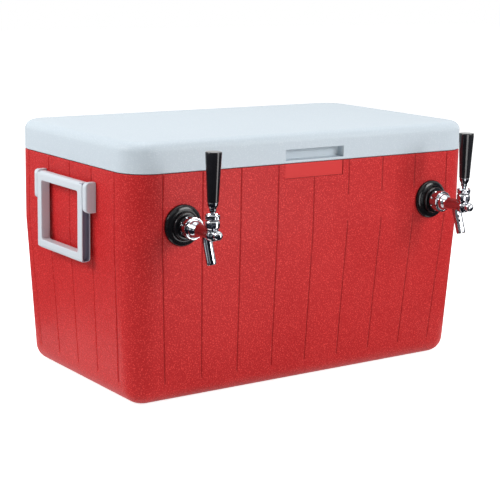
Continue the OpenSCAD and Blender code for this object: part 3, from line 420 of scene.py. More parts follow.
BLACKS = (0.004, 0.004, 0.005), (0.011, 0.011, 0.013)
KNOB_BLACK = polished("polished_black_handle", *BLACKS, 0.07, 0.10, 0.00006, 55.0)
FLANGE_BLACK = polished("glossy_black_flange", *BLACKS, 0.10, 0.10, 0.00012, 55.0, specular=0.32)
CHROME = polished("polished_chrome", (0.40, 0.41, 0.44), (0.54, 0.55, 0.58), 0.05, 0.07, 0.0006, 60.0,
                  Metallic=1.0)
FERRULE = polished("dull_dark_chrome", (0.16, 0.17, 0.18), (0.26, 0.27, 0.29), 0.14, 0.08, 0.0004, 80.0,
                   Metallic=1.0)
STEEL = polished("drawn_stainless_steel", (0.48, 0.48, 0.49), (0.66, 0.66, 0.67), 0.22, 0.16, 0.0002, 90.0,
                 Metallic=1.0, Anisotropic=0.4)
print(f"{len(bpy.data.materials)} materials so far")

# %% [markdown]
# ## Making surfaces
# A shape here is an array of points on a grid of rows and columns, worked out with numpy, and a few
# helpers turn such a grid into a mesh. Sizes are written in millimetres and become metres at the end.

# %% Mesh helpers
MM = 0.001


def grid_quads(rows, columns, wrap_columns=True, wrap_rows=False):
    """Corner numbers of the quads of a grid of rows by columns; a wrapped direction closes on itself."""
    last_row = rows if wrap_rows else rows - 1
    last_column = columns if wrap_columns else columns - 1
    i, j = np.meshgrid(np.arange(last_row), np.arange(last_column), indexing="ij")
    below, beside = (i + 1) % rows, (j + 1) % columns
    here, under = i * columns, below * columns
    quads = np.stack([here + j, here + beside, under + beside, under + j], -1)
    return quads.reshape(-1, 4)


def merge_points(mesh, outwards=True):
    """Joins points that lie together; outwards also drops thin faces and turns the others out."""
    work = bmesh.new()
    work.from_mesh(mesh)
    bmesh.ops.remove_doubles(work, verts=work.verts, dist=2e-6)
    if outwards:
        bmesh.ops.dissolve_degenerate(work, edges=work.edges, dist=1e-6)
        bmesh.ops.recalc_face_normals(work, faces=work.faces)
    work.to_mesh(mesh)
    work.free()


def new_piece(node, parts, material, body, attributes=None, name=None):
    """Object from [(points in millimetres, quads)] that stands for a CAD node and rides on a body.
    A point attribute is {name: one array of floats per part}, and is kept where no points merge."""
    name = name or f"{node}_skin"
    counts = np.cumsum([0] + [len(points) for points, _ in parts])
    points = np.concatenate([points for points, _ in parts]) * MM
    quads = np.concatenate([quads + start for (_, quads), start in zip(parts, counts)])
    mesh = bpy.data.meshes.new(name)
    mesh.from_pydata(points.tolist(), [], quads.tolist())
    for label, values in (attributes or {}).items():
        layer = mesh.attributes.new(label, "FLOAT", "POINT")
        layer.data.foreach_set("value", np.concatenate(values).astype(np.float32))
    merge_points(mesh)
    return dress(name, mesh, material, body, (node,))


def dress(name, mesh, material, body, stands_for):
    mesh.materials.clear()
    mesh.materials.append(material)
    mesh.shade_smooth()
    piece = bpy.data.objects.new(name, mesh)
    bpy.context.scene.collection.objects.link(piece)
    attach(piece, body)
    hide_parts(*stands_for)
    return piece


def smoothstep(low, high, value):
    """0 below low, 1 above high, and 3t^2 - 2t^3 between."""
    share = np.clip((value - low) / (high - low), 0.0, 1.0)
    return share * share * (3.0 - 2.0 * share)


def soft_outline(corners, steps=5):
    """Polyline through corners [a, b, r] with each corner cut back by r and rounded by a quadratic curve:
    (1-t)^2 A + 2t(1-t) B + t^2 C, where B is the corner and A and C lie r before and after it."""
    line = np.array([corner[:2] for corner in corners], float)
    out = [line[:1]]
    for before, here, after, corner in zip(line[:-2], line[1:-1], line[2:], corners[1:-1]):
        cut = corner[2] if len(corner) > 2 else 0.0
        back, on = before - here, after - here
        cut = min(cut, 0.49 * np.hypot(*back), 0.49 * np.hypot(*on))
        if cut <= 0.0:
            out.append(here[None])
            continue
        start, end = here + back / np.hypot(*back) * cut, here + on / np.hypot(*on) * cut
        t = np.linspace(0.0, 1.0, steps + 1)[:, None]
        out.append((1 - t) ** 2 * start + 2 * t * (1 - t) * here + t ** 2 * end)
    out.append(line[-1:])
    return np.concatenate(out)


def turned(outline, steps=72, closed=False, wobble=None):
    """Surface of revolution about the third axis: (r cos a, r sin a, height) for points (r, height).
    wobble(radius, height, angle) gives a changed radius, for notches and flutes."""
    outline = np.asarray(outline, float)
    angle = np.linspace(0.0, 2.0 * np.pi, steps, endpoint=False)
    radius, turn = np.meshgrid(outline[:, 0], angle, indexing="ij")
    height = np.repeat(outline[:, 1][:, None], steps, 1)
    if wobble is not None:
        radius = wobble(radius, height, turn)
    points = np.stack([radius * np.cos(turn), radius * np.sin(turn), height], -1).reshape(-1, 3)
    return points, grid_quads(len(outline), steps, True, closed)

# %% [markdown]
# ## The chest's red skin
# The shell is one moulding: an outline carried round a rectangle with rounded corners. Its grooves are
# too soft for a saw cut, so the surface is pressed in along them, on a grid that is fine where a groove,
# a recess or the drain's cup needs it and coarse elsewhere.

# %% Sizes of the chest
HALF_LENGTH, HALF_WIDTH, CHEST_TOP = 310.0, 176.0, 333.0
CORNER = 44.0
LEAN_START, BASE_INSET, BASE_FILLET = 229.0, 15.0, 26.0
CORE = np.array([HALF_LENGTH - CORNER, HALF_WIDTH - CORNER])
GROOVE_PITCH, GROOVE_HALF, GROOVE_DEPTH, GROOVE_FOOT = 65.0, 1.25, 1.0, 29.0
SIDE_GATHER, END_GATHER = 0.06, 0.10
FIELD = (31.0, 197.0, 240.0, 280.0)
RELIEF_HALF, RELIEF_FOOT, RELIEF_DEPTH = 53.0, 311.5, 1.5
CUP_HEIGHT, CUP_RADIUS, CUP_FLOOR = 66.0, 26.0, 287.0
# painted shade: how far the grooves on the long sides and on the ends, and the line round the relief, are
# darkened
GROOVE_SHADE, RELIEF_SHADE = (0.45, 0.28), 0.9
CUP_BLOCK, CUP_ROUND = 40.0, 29.0
SIDES = {"front": 0, "right": 1, "back": 2, "left": 3}


def samples(low, high, step, fine=(), spread=()):
    """Sorted places from low to high about step apart, with the offsets in spread round each in fine."""
    even = np.linspace(low, high, max(2, int(round((high - low) / step)) + 1))
    extra = (np.asarray(fine, float)[:, None] + np.asarray(spread, float)).ravel()
    extra = extra[(extra > low + 0.2) & (extra < high - 0.2)]
    if len(extra):
        gap = np.abs(even[:, None] - extra).min(1)
        even = even[(gap > 1.2) | (even == low) | (even == high)]
    return np.unique(np.round(np.concatenate([even, extra]), 4))


def perimeter(side_places, end_places, corner_steps=12):
    """Columns round the chest, from the front's left end: base point, outward normal, side and place
    along it. On a side the base moves and the normal stands still; at a corner the normal turns."""
    base, normal, side, place = [], [], [], []
    for number in range(4):
        along = side_places if number % 2 == 0 else end_places
        turn = number * np.pi / 2
        forward = np.array([np.cos(turn), np.sin(turn)])
        outward = np.array([np.sin(turn), -np.cos(turn)])
        half = CORE[1] if number % 2 == 0 else CORE[0]
        base.append(forward * along[:, None] + outward * half)
        normal.append(np.repeat(outward[None], len(along), 0))
        side.append(np.full(len(along), number))
        place.append(along)
        angle = turn - np.pi / 2 + np.linspace(0, np.pi / 2, corner_steps + 1)[1:-1]
        base.append(np.repeat(base[-1][-1:], len(angle), 0))
        normal.append(np.stack([np.cos(angle), np.sin(angle)], -1))
        side.append(np.full(len(angle), -1))
        place.append(np.zeros(len(angle)))
    return [np.concatenate(each) for each in (base, normal, side, place)]


def carried(base, normal, distance, height, shift=0.0):
    """Points of a skin at their heights: base + distance outward + shift along the wall."""
    forward = np.stack([-normal[:, 1], normal[:, 0]], -1)
    flat = base[None] + normal[None] * distance[..., None] + forward[None] * np.asarray(shift)[..., None]
    return np.concatenate([flat, height[..., None]], -1).reshape(-1, 3)


def closing(base, height, shares):
    """Rings at one height that shrink the core's outline to a point."""
    ring = np.concatenate([base, np.full((len(base), 1), height)], -1)
    rings = np.concatenate([ring * [share, share, 1.0] for share in shares])
    return rings, grid_quads(len(shares), len(base))


def wall_distance(height):
    """Distance of the chest's wall from the core: upright above, leaning in towards the base."""
    return CORNER - BASE_INSET * np.clip((LEAN_START - height) / LEAN_START, 0, 1)


# %% Columns and rows of the skin
GROOVE_SPREAD = np.array([-2.0, -1.6, -1.3, -1.0, -0.7, -0.35, 0.0, 0.35, 0.7, 1.0, 1.3, 1.6, 2.0])
STEP_SPREAD = np.array([-1.2, -0.7, -0.35, 0.0, 0.35, 0.7, 1.2])
CUP_SPREAD = np.array([-40, -36, -32, -29, -27.6, -27.0, -26.5, -26.0, -25.5, -25.0, -23.5, -18, -9,
                       9, 18, 23.5, 25.0, 25.5, 26.0, 26.5, 27.0, 27.6, 29, 32, 36, 40])


def chest_columns():
    side_grooves = np.arange(-4, 5) * GROOVE_PITCH
    end_grooves = np.arange(-2, 3) * GROOVE_PITCH
    along = samples(-CORE[0], CORE[0], 9.0, side_grooves, GROOVE_SPREAD)
    for edge in (-RELIEF_HALF, RELIEF_HALF, FIELD[0], FIELD[1]):
        along = np.unique(np.round(np.concatenate([along, edge + STEP_SPREAD]), 4))
    across = samples(-CORE[1], CORE[1], 9.0, end_grooves, GROOVE_SPREAD)
    across = np.unique(np.round(np.concatenate([across, CUP_SPREAD]), 4))
    return along, across


def chest_rows():
    """Outline of the wall as (distance from the core, height): rim, wall, rounded foot and floor."""
    rim = soft_outline([[CORNER - 3.0, CHEST_TOP], [CORNER, CHEST_TOP, 0.9], [CORNER, 329.0]], 4)
    lean = math.atan(BASE_INSET / LEAN_START)
    heights = samples(30.0, 327.0, 8.0, [RELIEF_FOOT, FIELD[2], FIELD[3]], STEP_SPREAD)
    bend = [LEAN_START - 1.5, LEAN_START, LEAN_START + 1.5]
    cup = CUP_HEIGHT + CUP_SPREAD[CUP_SPREAD > -36]
    heights = np.unique(np.concatenate([heights, bend, cup, [30.5, 31.5, 33.0]]))[::-1]
    middle = CORNER - BASE_INSET + BASE_FILLET * (math.tan(lean) - 1.0 / math.cos(lean))
    turn = np.linspace(-lean, -np.pi / 2, 10)
    foot = np.stack([middle + BASE_FILLET * np.cos(turn), BASE_FILLET + BASE_FILLET * np.sin(turn)], -1)
    return np.concatenate([rim, np.stack([wall_distance(heights), heights], -1), foot, [[0.0, 0.0]]])


# %% Pressing the details in
def groove_depth(side, place, height):
    """Depth of the upright grooves: a rounded notch round every multiple of the pitch, out at the foot."""
    nearest = np.round(place / GROOVE_PITCH) * GROOVE_PITCH
    last = np.where(side % 2 == 0, 4, 2) * GROOVE_PITCH
    notch = 1.0 - smoothstep(0.25, GROOVE_HALF + 0.35, np.abs(place - nearest))
    notch = notch * (np.abs(nearest) <= last + 0.1) * smoothstep(GROOVE_FOOT, GROOVE_FOOT + 3.0, height)
    low_x, high_x, low_z, high_z = FIELD
    in_field = (smoothstep(low_x - 1, low_x + 1, place) * smoothstep(high_x + 1, high_x - 1, place)
                * smoothstep(low_z - 1, low_z + 1, height) * smoothstep(high_z + 1, high_z - 1, height))
    bare = np.where(side == SIDES["front"], in_field, 0.0)
    return GROOVE_DEPTH * notch * (1.0 - bare)


def relief(side, place, height):
    """1 inside the smooth finger relief on the front, 0 outside it."""
    beside = smoothstep(RELIEF_HALF + 0.5, RELIEF_HALF - 0.5, np.abs(place))
    inside = beside * smoothstep(RELIEF_FOOT - 0.5, RELIEF_FOOT + 0.5, height)
    return np.where(side == SIDES["front"], inside, 0.0)


def chest_skin():
    along, across = chest_columns()
    base, normal, side, place = perimeter(along, across)
    outline = chest_rows()
    rows, columns = len(outline), len(base)
    distance, height = np.repeat(outline.T[..., None], columns, 2)
    side, place = (np.repeat(each[None], rows, 0) for each in (side, place))
    smooth_part = relief(side, place, height)
    grooved = np.where(side >= 0, groove_depth(side, place, height), 0.0) * (1.0 - smooth_part)
    pressed = grooved + RELIEF_DEPTH * smooth_part
    pressed = pressed * (distance > CORNER - BASE_INSET - 1.0)
    # the grooves draw together towards the base
    drop = np.clip(LEAN_START - height, 0.0, None) / LEAN_START
    gather = np.where(side % 2 == 0, SIDE_GATHER, END_GATHER) * (side >= 0)
    edge = np.where(side % 2 == 0, CORE[0], CORE[1])
    hold = np.clip((edge - np.abs(place)) / np.where(side % 2 == 0, 4.0, 1.5), 0.0, 1.0)
    shift = -place * gather * hold * drop
    # the drain's cup: squares of the grid become circles round it
    aside, above = place, height - CUP_HEIGHT
    reach = np.maximum(np.abs(aside), np.abs(above))
    in_block = (side == SIDES["right"]) & (reach < CUP_BLOCK)
    rounding = smoothstep(CUP_BLOCK, CUP_ROUND, reach) * in_block
    scale = reach / np.maximum(np.hypot(aside, above), 1e-6)
    shift = np.where(in_block, shift * (1 - rounding) + aside * (scale - 1.0) * rounding, shift)
    risen = np.where(in_block, above * (scale - 1.0) * rounding, 0.0)
    height = height + risen
    distance = np.where(in_block, wall_distance(height), distance)
    cup = smoothstep(CUP_RADIUS + 1.0, CUP_RADIUS - 0.8, reach) * in_block
    distance = (distance - pressed * (1 - cup)) * (1 - cup) + (CUP_FLOOR - CORE[0]) * cup
    skin = (carried(base, normal, distance, height, shift), grid_quads(rows, columns))
    # the floor closes to a line between the core's corners, and then to a point
    floor_part = closing(base, 0.0, (1.0, 0.5, 0.0))
    polish = [smoothstep(0.2, 0.9, smooth_part).ravel(), np.zeros(3 * columns)]
    # painted shade darkens the grooves, and a line along the relief's edge, where smooth_part is one half
    shade_paint = np.where(side % 2 == 0, *GROOVE_SHADE) * smoothstep(0.35, 0.9, grooved / GROOVE_DEPTH)
    shade_paint = np.maximum(shade_paint, 4.0 * RELIEF_SHADE * smooth_part * (1.0 - smooth_part))
    painted_shade = [shade_paint.ravel(), np.zeros(3 * columns)]
    return new_piece("outer_shell", [skin, floor_part], RED_PLASTIC, "chest",
                     {"polish": polish, "painted_shade": painted_shade}, name="chest_skin")


chest = chest_skin()
print(f"chest skin: {len(chest.data.polygons)} faces")

# %% [markdown]
# ## The lid's skin
# The lid is the same kind of moulding upside down, with a generous round edge and a finger pocket
# pressed 13 mm into its front. The pocket's walls lean by less than a millimetre, as a mould needs.

# %% Lid
LID_FOOT, LID_TOP, LID_EDGE = 334.0, 377.0, 14.0
POCKET_HALF, POCKET_LOW, POCKET_HIGH, POCKET_DEPTH = 53.0, 338.0, 354.0, 13.0


def lid_skin():
    along = samples(-CORE[0], CORE[0], 11.0, [-POCKET_HALF, POCKET_HALF], STEP_SPREAD)
    across = samples(-CORE[1], CORE[1], 11.0)
    base, normal, side, place = perimeter(along, across, 14)
    foot = soft_outline([[CORNER - 3.0, LID_FOOT], [CORNER, LID_FOOT, 1.1], [CORNER, LID_FOOT + 2.4]], 5)
    heights = samples(LID_FOOT + 2.6, LID_TOP - LID_EDGE, 4.0, [POCKET_LOW, POCKET_HIGH],
                      [-0.7, -0.45, -0.2, 0.0, 0.2, 0.45, 0.7])
    side_rows = np.stack([np.full(len(heights), CORNER), heights], -1)
    turn = np.linspace(0.0, np.pi / 2, 13)[1:]
    edge = [CORNER - LID_EDGE, LID_TOP - LID_EDGE] + LID_EDGE * np.stack([np.cos(turn), np.sin(turn)], -1)
    outline = np.concatenate([foot, side_rows, edge, [[22.0, LID_TOP], [12.0, LID_TOP], [0.0, LID_TOP]]])
    rows, columns = len(outline), len(base)
    distance, height = np.repeat(outline.T[..., None], columns, 2)
    pocket = (smoothstep(POCKET_HALF, POCKET_HALF - 0.8, np.abs(place))[None]
              * smoothstep(POCKET_LOW - 0.1, POCKET_LOW + 0.6, height)
              * smoothstep(POCKET_HIGH, POCKET_HIGH - 0.7, height) * (side == SIDES["front"])[None])
    distance = distance - POCKET_DEPTH * pocket
    skin = (carried(base, normal, distance, height), grid_quads(rows, columns))
    top = closing(base, LID_TOP, (1.0, 0.8, 0.55, 0.3, 0.0))
    polish = [smoothstep(0.2, 0.9, pocket).ravel(), np.zeros(len(top[0]))]
    return new_piece("lid_shell", [skin, top], WHITE_PLASTIC, "lid", {"polish": polish},
                     name="lid_skin")


lid = lid_skin()
print(f"lid skin: {len(lid.data.polygons)} faces")

# %% [markdown]
# ## Places on the taps
# Nearly everything on a tap is turned on a lathe, so a profile of (radius, height) is enough for each
# piece. Three small functions lay its axis along the tap, along the inlet on the back, or upright in
# the lever's column.

# %% Places
TAP_SPREAD, TAP_HEIGHT, COLUMN_OUT = 228.0, 260.0, 75.5
TAP_SIDES = {"left": -1, "right": 1}


def on_tap(points, side, outward=-1):
    """Third axis points out of the front wall: (x, y, h) goes to (spread + x, -(wall + h), height + y)."""
    across = side * TAP_SPREAD + points[:, 0]
    return np.stack([across, outward * (HALF_WIDTH + points[:, 2]), TAP_HEIGHT + points[:, 1]], -1)


def on_inlet(points, side):
    """The same on the back wall."""
    return on_tap(points, side, 1)


def on_column(points, side):
    """Third axis stands upright through the lever's pivot."""
    return points + [side * TAP_SPREAD, -HALF_WIDTH - COLUMN_OUT, TAP_HEIGHT]


def lathe_piece(node, outline, place, side, material, body, slot, **options):
    """Turned piece, laid on a tap, an inlet or a column, that stands for a CAD node. Its large faces set
    the normals, so that flats stay flat beside their rounded edges."""
    points, quads = turned(outline, **options)
    piece = new_piece(node, [(place(points, side), quads)], material, body)
    modifier = piece.modifiers.new("even_shading", "WEIGHTED_NORMAL")
    modifier.mode = "FACE_AREA"
    modifier.weight = 90


# %% [markdown]
# ## Flanges
# A black flange hides the drilled hole. It has a thin rim, a low dome and a taller hub with a rounded
# shoulder, and a fine groove where the hub rises, which catches a dark line.

# %% Flanges
FLANGE_RADIUS, FLANGE_HEIGHT, HUB_RADIUS, SHANK_RADIUS = 29.5, 13.0, 20.06, 11.1


def flange_outline():
    """Rim, quarter of an ellipse up to the hub's foot, groove, shoulder and face."""
    turn = np.linspace(0.0, np.pi / 2, 15)
    foot_radius = HUB_RADIUS + 0.9
    reach = foot_radius + (FLANGE_RADIUS - foot_radius) * np.cos(turn)
    dome = np.stack([reach, 2.0 + 5.6 * np.sin(turn)], -1)
    hub = soft_outline([[HUB_RADIUS + 0.9, 7.6], [HUB_RADIUS + 0.45, 7.0, 0.3], [HUB_RADIUS, 7.4, 0.3],
                        [HUB_RADIUS, FLANGE_HEIGHT, 4.2], [SHANK_RADIUS + 1.2, FLANGE_HEIGHT, 0.6],
                        [SHANK_RADIUS + 0.1, FLANGE_HEIGHT - 0.6]], 9)
    foot = soft_outline([[SHANK_RADIUS + 0.1, 0.0], [FLANGE_RADIUS, 0.0, 0.4], [FLANGE_RADIUS, 2.0]], 4)
    return np.concatenate([foot, dome[1:], hub[1:]])


for label, side in TAP_SIDES.items():
    for kind, place in (("tap", on_tap), ("inlet", on_inlet)):
        lathe_piece(f"{kind}_flange_{label}", flange_outline(), place, side, FLANGE_BLACK, "chest",
                    "flange_black", steps=128, closed=True)
print("flanges: 4")

# %% [markdown]
# ## Coupling nuts
# A ring nut pulls the faucet onto its shank. A hook spanner grips its eight notches. The notches are
# pressed into the lathe profile, where the angle comes near one of them.

# %% Coupling nuts
COUPLING_RADIUS, COUPLING_LOW, COUPLING_FRONT = 16.0, 15.8, 31.0
NOTCHES, NOTCH_RADIUS, NOTCH_CENTRE, NOTCH_FOOT = 8, 1.8, 16.6, 19.8


def notched(radius, height, turn):
    """Where a notch's circle reaches inside the nut, the radius drops to its near side:
    c cos d - sqrt(n^2 - (c sin d)^2), with d the angle to the nearest notch."""
    pitch = 2 * np.pi / NOTCHES
    away = (turn / pitch - np.floor(turn / pitch) - 0.5) * pitch
    aside = NOTCH_CENTRE * np.sin(away)
    near = NOTCH_CENTRE * np.cos(away) - np.sqrt(np.clip(NOTCH_RADIUS ** 2 - aside ** 2, 0.0, None))
    depth = np.where(np.abs(aside) < NOTCH_RADIUS, np.clip(radius - near, 0.0, None), 0.0)
    outside = radius > COUPLING_RADIUS - 1.6
    return radius - depth * smoothstep(NOTCH_FOOT - 0.3, NOTCH_FOOT + 0.3, height) * outside


def coupling_outline():
    heights = (17.4, 19.3, 19.5, 19.65, 19.8, 19.95, 20.1, 20.3, 24.0, 29.0)
    side_rows = [[COUPLING_RADIUS, height] for height in heights]
    low = soft_outline([[9.7, COUPLING_LOW], [COUPLING_RADIUS, COUPLING_LOW, 1.3],
                        [COUPLING_RADIUS, 17.4]], 6)
    high = soft_outline([[COUPLING_RADIUS, 29.0], [COUPLING_RADIUS, COUPLING_FRONT, 1.2],
                         [13.5, COUPLING_FRONT, 0.5], [13.5, 20.0]], 6)
    return np.concatenate([low, side_rows[1:], high[1:], [[9.7, 20.0]]])


for label, side in TAP_SIDES.items():
    lathe_piece(f"coupling_nut_{label}", coupling_outline(), on_tap, side, CHROME, "chest", "chrome",
                steps=256, closed=True, wobble=notched)
print("coupling nuts: 2")

# %% [markdown]
# ## Faucets
# A faucet is cast, ground and plated, so its forms melt into each other. Lathe profiles for the barrel
# and the column, a ball for the nose and a swept tube for the spout are put together, a voxel remesh
# makes them one skin, and smoothing rounds the joins as a caster's fillets would.

# %% Faucet forms
FAUCET_VOXEL, FAUCET_PASSES = 0.55, 12
THREAD_RADIUS, WAIST_RADIUS, NOSE_RADIUS = 12.2, 8.6, 6.8
GASKET_OUT, WAIST_OUT, NOSE_OUT, SPOUT_ROOT = 24.0, 46.0, 88.5, 62.5
SPOUT_RADIUS, SPOUT_BORE, SPOUT_BEND, SPOUT_DROP = 7.0, 5.4, 45.0, 42.5
SPOUT_ROOT_LEAN, SPOUT_LEAN = math.radians(-2.0), math.radians(20.0)


def barrel_outline():
    """Thread, a cosine wave down to the waist, the swell under the column and the neck of the nose."""
    share = np.linspace(0.0, 1.0, 25)
    start = GASKET_OUT + 9.0
    radius = THREAD_RADIUS - (THREAD_RADIUS - WAIST_RADIUS) * (1 - np.cos(np.pi * share)) / 2
    wave = np.stack([radius, start + (WAIST_OUT - start) * share], -1)
    swell = soft_outline([[WAIST_RADIUS, WAIST_OUT], [WAIST_RADIUS, SPOUT_ROOT - 10, 3.0],
                          [8.9, COLUMN_OUT - 4, 3.0], [8.9, COLUMN_OUT, 3.0],
                          [5.9, COLUMN_OUT + 8, 1.0], [0.0, COLUMN_OUT + 8]], 8)
    back = [[0.0, GASKET_OUT], [13.4, GASKET_OUT], [13.4, 31.4]]
    return np.concatenate([back, wave, swell[1:]])


def column_outline():
    """Rounded foot as a quarter ellipse, a waist, and the bead that the bonnet screws onto."""
    turn = np.linspace(0.0, np.pi / 2, 20)
    foot = np.stack([9.5 * np.sin(turn), -3.0 - 7.4 * np.cos(turn)], -1)
    head = soft_outline([[9.5, -2.6], [9.5, 1.0, 2.5], [8.2, 4.4, 1.6], [8.2, 7.0, 1.2], [10.2, 9.2, 1.6],
                         [10.2, 17.0, 2.6], [9.0, 18.6, 0.6], [9.0, 19.3], [0.0, 19.3]], 7)
    return np.concatenate([foot, head])


def nose_outline():
    """Ball: radius times the sine and the cosine of the angle from its pole."""
    turn = np.linspace(0.0, np.pi, 40)
    return np.stack([NOSE_RADIUS * np.sin(turn), NOSE_OUT - NOSE_RADIUS * np.cos(turn)], -1)


def spout_skin(steps=56, straight_rings=16, sides=64):
    """Walled tube: rings along an arc and then straight on, outside going down and the bore coming up.
    A ring at p with direction d is p + r (cos a across + sin a sideways)."""
    start = np.array([SPOUT_ROOT, 0.0])
    middle = start + SPOUT_BEND * np.array([math.cos(SPOUT_ROOT_LEAN), math.sin(SPOUT_ROOT_LEAN)])
    lean = np.linspace(SPOUT_ROOT_LEAN, SPOUT_LEAN, steps)
    bend = middle - SPOUT_BEND * np.stack([np.cos(lean), np.sin(lean)], -1)
    length = (SPOUT_DROP + bend[-1, 1]) / math.cos(SPOUT_LEAN)
    ahead = np.array([math.sin(SPOUT_LEAN), -math.cos(SPOUT_LEAN)])
    straight = bend[-1] + np.linspace(0, length, straight_rings)[1:, None] * ahead
    path = np.concatenate([bend, straight])
    turns = np.concatenate([lean, np.full(len(straight), SPOUT_LEAN)])
    lip = np.array([[0.55, 0.0], [0.2, -0.16], [0.0, -0.5]])
    down = [(p, t, SPOUT_RADIUS) for p, t in zip(path[:-1], turns[:-1])]
    end = [(path[-1] + ahead * along, SPOUT_LEAN, SPOUT_RADIUS + drop)
           for drop, along in lip[::-1] - [0.55, 0.0]]
    mouth = [(path[-1], SPOUT_LEAN, SPOUT_BORE + 0.3), (path[-1] - ahead * 0.4, SPOUT_LEAN, SPOUT_BORE)]
    up = [(p, t, SPOUT_BORE) for p, t in zip(path[::-1][3:], turns[::-1][3:])]
    rings = down + end + mouth + up[:-8]
    rings = [(down[0][0], down[0][1], 0.0)] + rings + [(rings[-1][0], rings[-1][1], 0.0)]
    place = np.array([ring[0] for ring in rings])
    turn = np.array([ring[1] for ring in rings])
    radius = np.array([ring[2] for ring in rings])[:, None]
    angle = np.linspace(0, 2 * np.pi, sides, endpoint=False)[None]
    across = radius * np.cos(angle)
    out = place[:, :1] + across * np.cos(turn)[:, None]
    high = place[:, 1:] + across * np.sin(turn)[:, None]
    aside = np.broadcast_to(radius * np.sin(angle), out.shape)
    return np.stack([aside, high, out], -1).reshape(-1, 3), grid_quads(len(rings), sides)


# %% Melting forms together
def remeshed(piece, voxel, passes):
    """Voxel remesh, voxel millimetres fine, and smoothing passes, both applied to the piece."""
    remesh = piece.modifiers.new("one_skin", "REMESH")
    remesh.mode = "VOXEL"
    remesh.voxel_size = voxel * MM
    remesh.use_smooth_shade = True
    soften = piece.modifiers.new("fillets", "SMOOTH")
    soften.factor = 0.5
    soften.iterations = passes
    graph = bpy.context.evaluated_depsgraph_get()
    mesh = bpy.data.meshes.new_from_object(piece.evaluated_get(graph))
    old = piece.data
    piece.modifiers.clear()
    piece.data = mesh
    mesh.name = piece.name
    bpy.data.meshes.remove(old)
    mesh.shade_smooth()
    return piece


for label, side in TAP_SIDES.items():
    forms = [turned(barrel_outline(), 96), turned(nose_outline(), 72), spout_skin()]
    forms = [(on_tap(points, side), quads) for points, quads in forms]
    points, quads = turned(column_outline(), 96)
    forms.append((on_column(points, side), quads))
    faucet = new_piece(f"faucet_body_{label}", forms, CHROME, "chest")
    faucet = remeshed(faucet, FAUCET_VOXEL, FAUCET_PASSES)
    print(f"{faucet.name}: {len(faucet.data.polygons)} faces")

# %% [markdown]
# ## Bonnet, ferrule and handle
# The bonnet screws over the lever's ball and has shallow flutes for the fingers. The lever swings in
# its flared mouth. The ferrule and the flared black handle ride on the lever.

# %% Bonnets, ferrules and handles
BONNET_TOP, COLUMN_TOP, FERRULE_LOW, KNOB_LOW, KNOB_TOP = 27.0, 19.3, 30.5, 43.5, 111.5
FLUTES = 20


def fluted(radius, height, turn):
    """Flutes 0.3 mm deep round the bonnet's outside, faded out towards its two edges."""
    wave = 0.5 - 0.5 * np.cos(FLUTES * turn)
    reach = smoothstep(20.4, 21.4, height) * smoothstep(25.6, 24.4, height) * (radius > 9.9)
    return radius - 0.3 * wave * reach


def bonnet_outline():
    side_rows = [[10.2, h] for h in (21.0, 21.4, 22.4, 23.4, 24.2)]
    outside = soft_outline([[8.7, COLUMN_TOP], [9.2, COLUMN_TOP, 0.2], [10.2, 20.6, 1.0], [10.2, 21.0]], 5)
    crown = soft_outline([[10.2, 24.2], [10.2, 26.0, 1.6], [9.5, BONNET_TOP, 0.5],
                          [9.05, BONNET_TOP, 0.2], [6.4, 21.3], [8.7, 21.3]], 6)
    return np.concatenate([outside, side_rows[1:], crown[1:]])


def ferrule_outline():
    return soft_outline([[3.3, FERRULE_LOW], [4.4, FERRULE_LOW, 0.4], [5.0, 32.6, 1.2], [4.6, 34.6, 1.2],
                         [7.2, 39.0, 1.6], [7.45, 42.0, 0.8], [7.3, KNOB_LOW, 0.2], [3.3, KNOB_LOW]], 7)


def handle_outline():
    """Straight flare with a tiny swell, and a crown with a soft edge."""
    share = np.linspace(0.0, 1.0, 22)
    flare = np.stack([8.0 + 3.3 * share ** 1.08, 44.3 + (KNOB_TOP - 3.0 - 44.3) * share], -1)
    foot = soft_outline([[3.3, 58.0], [3.3, KNOB_LOW], [7.6, KNOB_LOW, 0.3], [8.0, 44.3]], 4)
    crown = soft_outline([[11.3, KNOB_TOP - 3.0], [11.3, KNOB_TOP, 1.8], [4.0, KNOB_TOP],
                          [0.0, KNOB_TOP]], 8)
    return np.concatenate([[[0.0, 58.0]], foot, flare[1:], crown[1:]])


for label, side in TAP_SIDES.items():
    lathe_piece(f"bonnet_{label}", bonnet_outline(), on_column, side, CHROME, "chest", "chrome",
                steps=160, closed=True, wobble=fluted)
    lathe_piece(f"lever_collar_{label}", ferrule_outline(), on_column, side, FERRULE, f"{label}_lever",
                "chrome", steps=96, closed=True)
    lathe_piece(f"tap_handle_{label}", handle_outline(), on_column, side, KNOB_BLACK, f"{label}_lever",
                "handle_black", steps=96)
print("bonnets, ferrules and handles: 2 each")

# %% [markdown]
# ## Cooling coils
# Stainless tube wound fourteen times round a drum, with its tail led up again behind the winding. The
# construction model's tube has six sides. Here a round one follows the same route.

# %% Coils
COIL_X, COIL_RADIUS, COIL_TURNS, COIL_FOOT, TUBE_RADIUS = 128.0, 100.0, 14, 80.0, 4.75
RISER_Y, RISER_BEND, COIL_END = 60.0, 25.0, 114.0


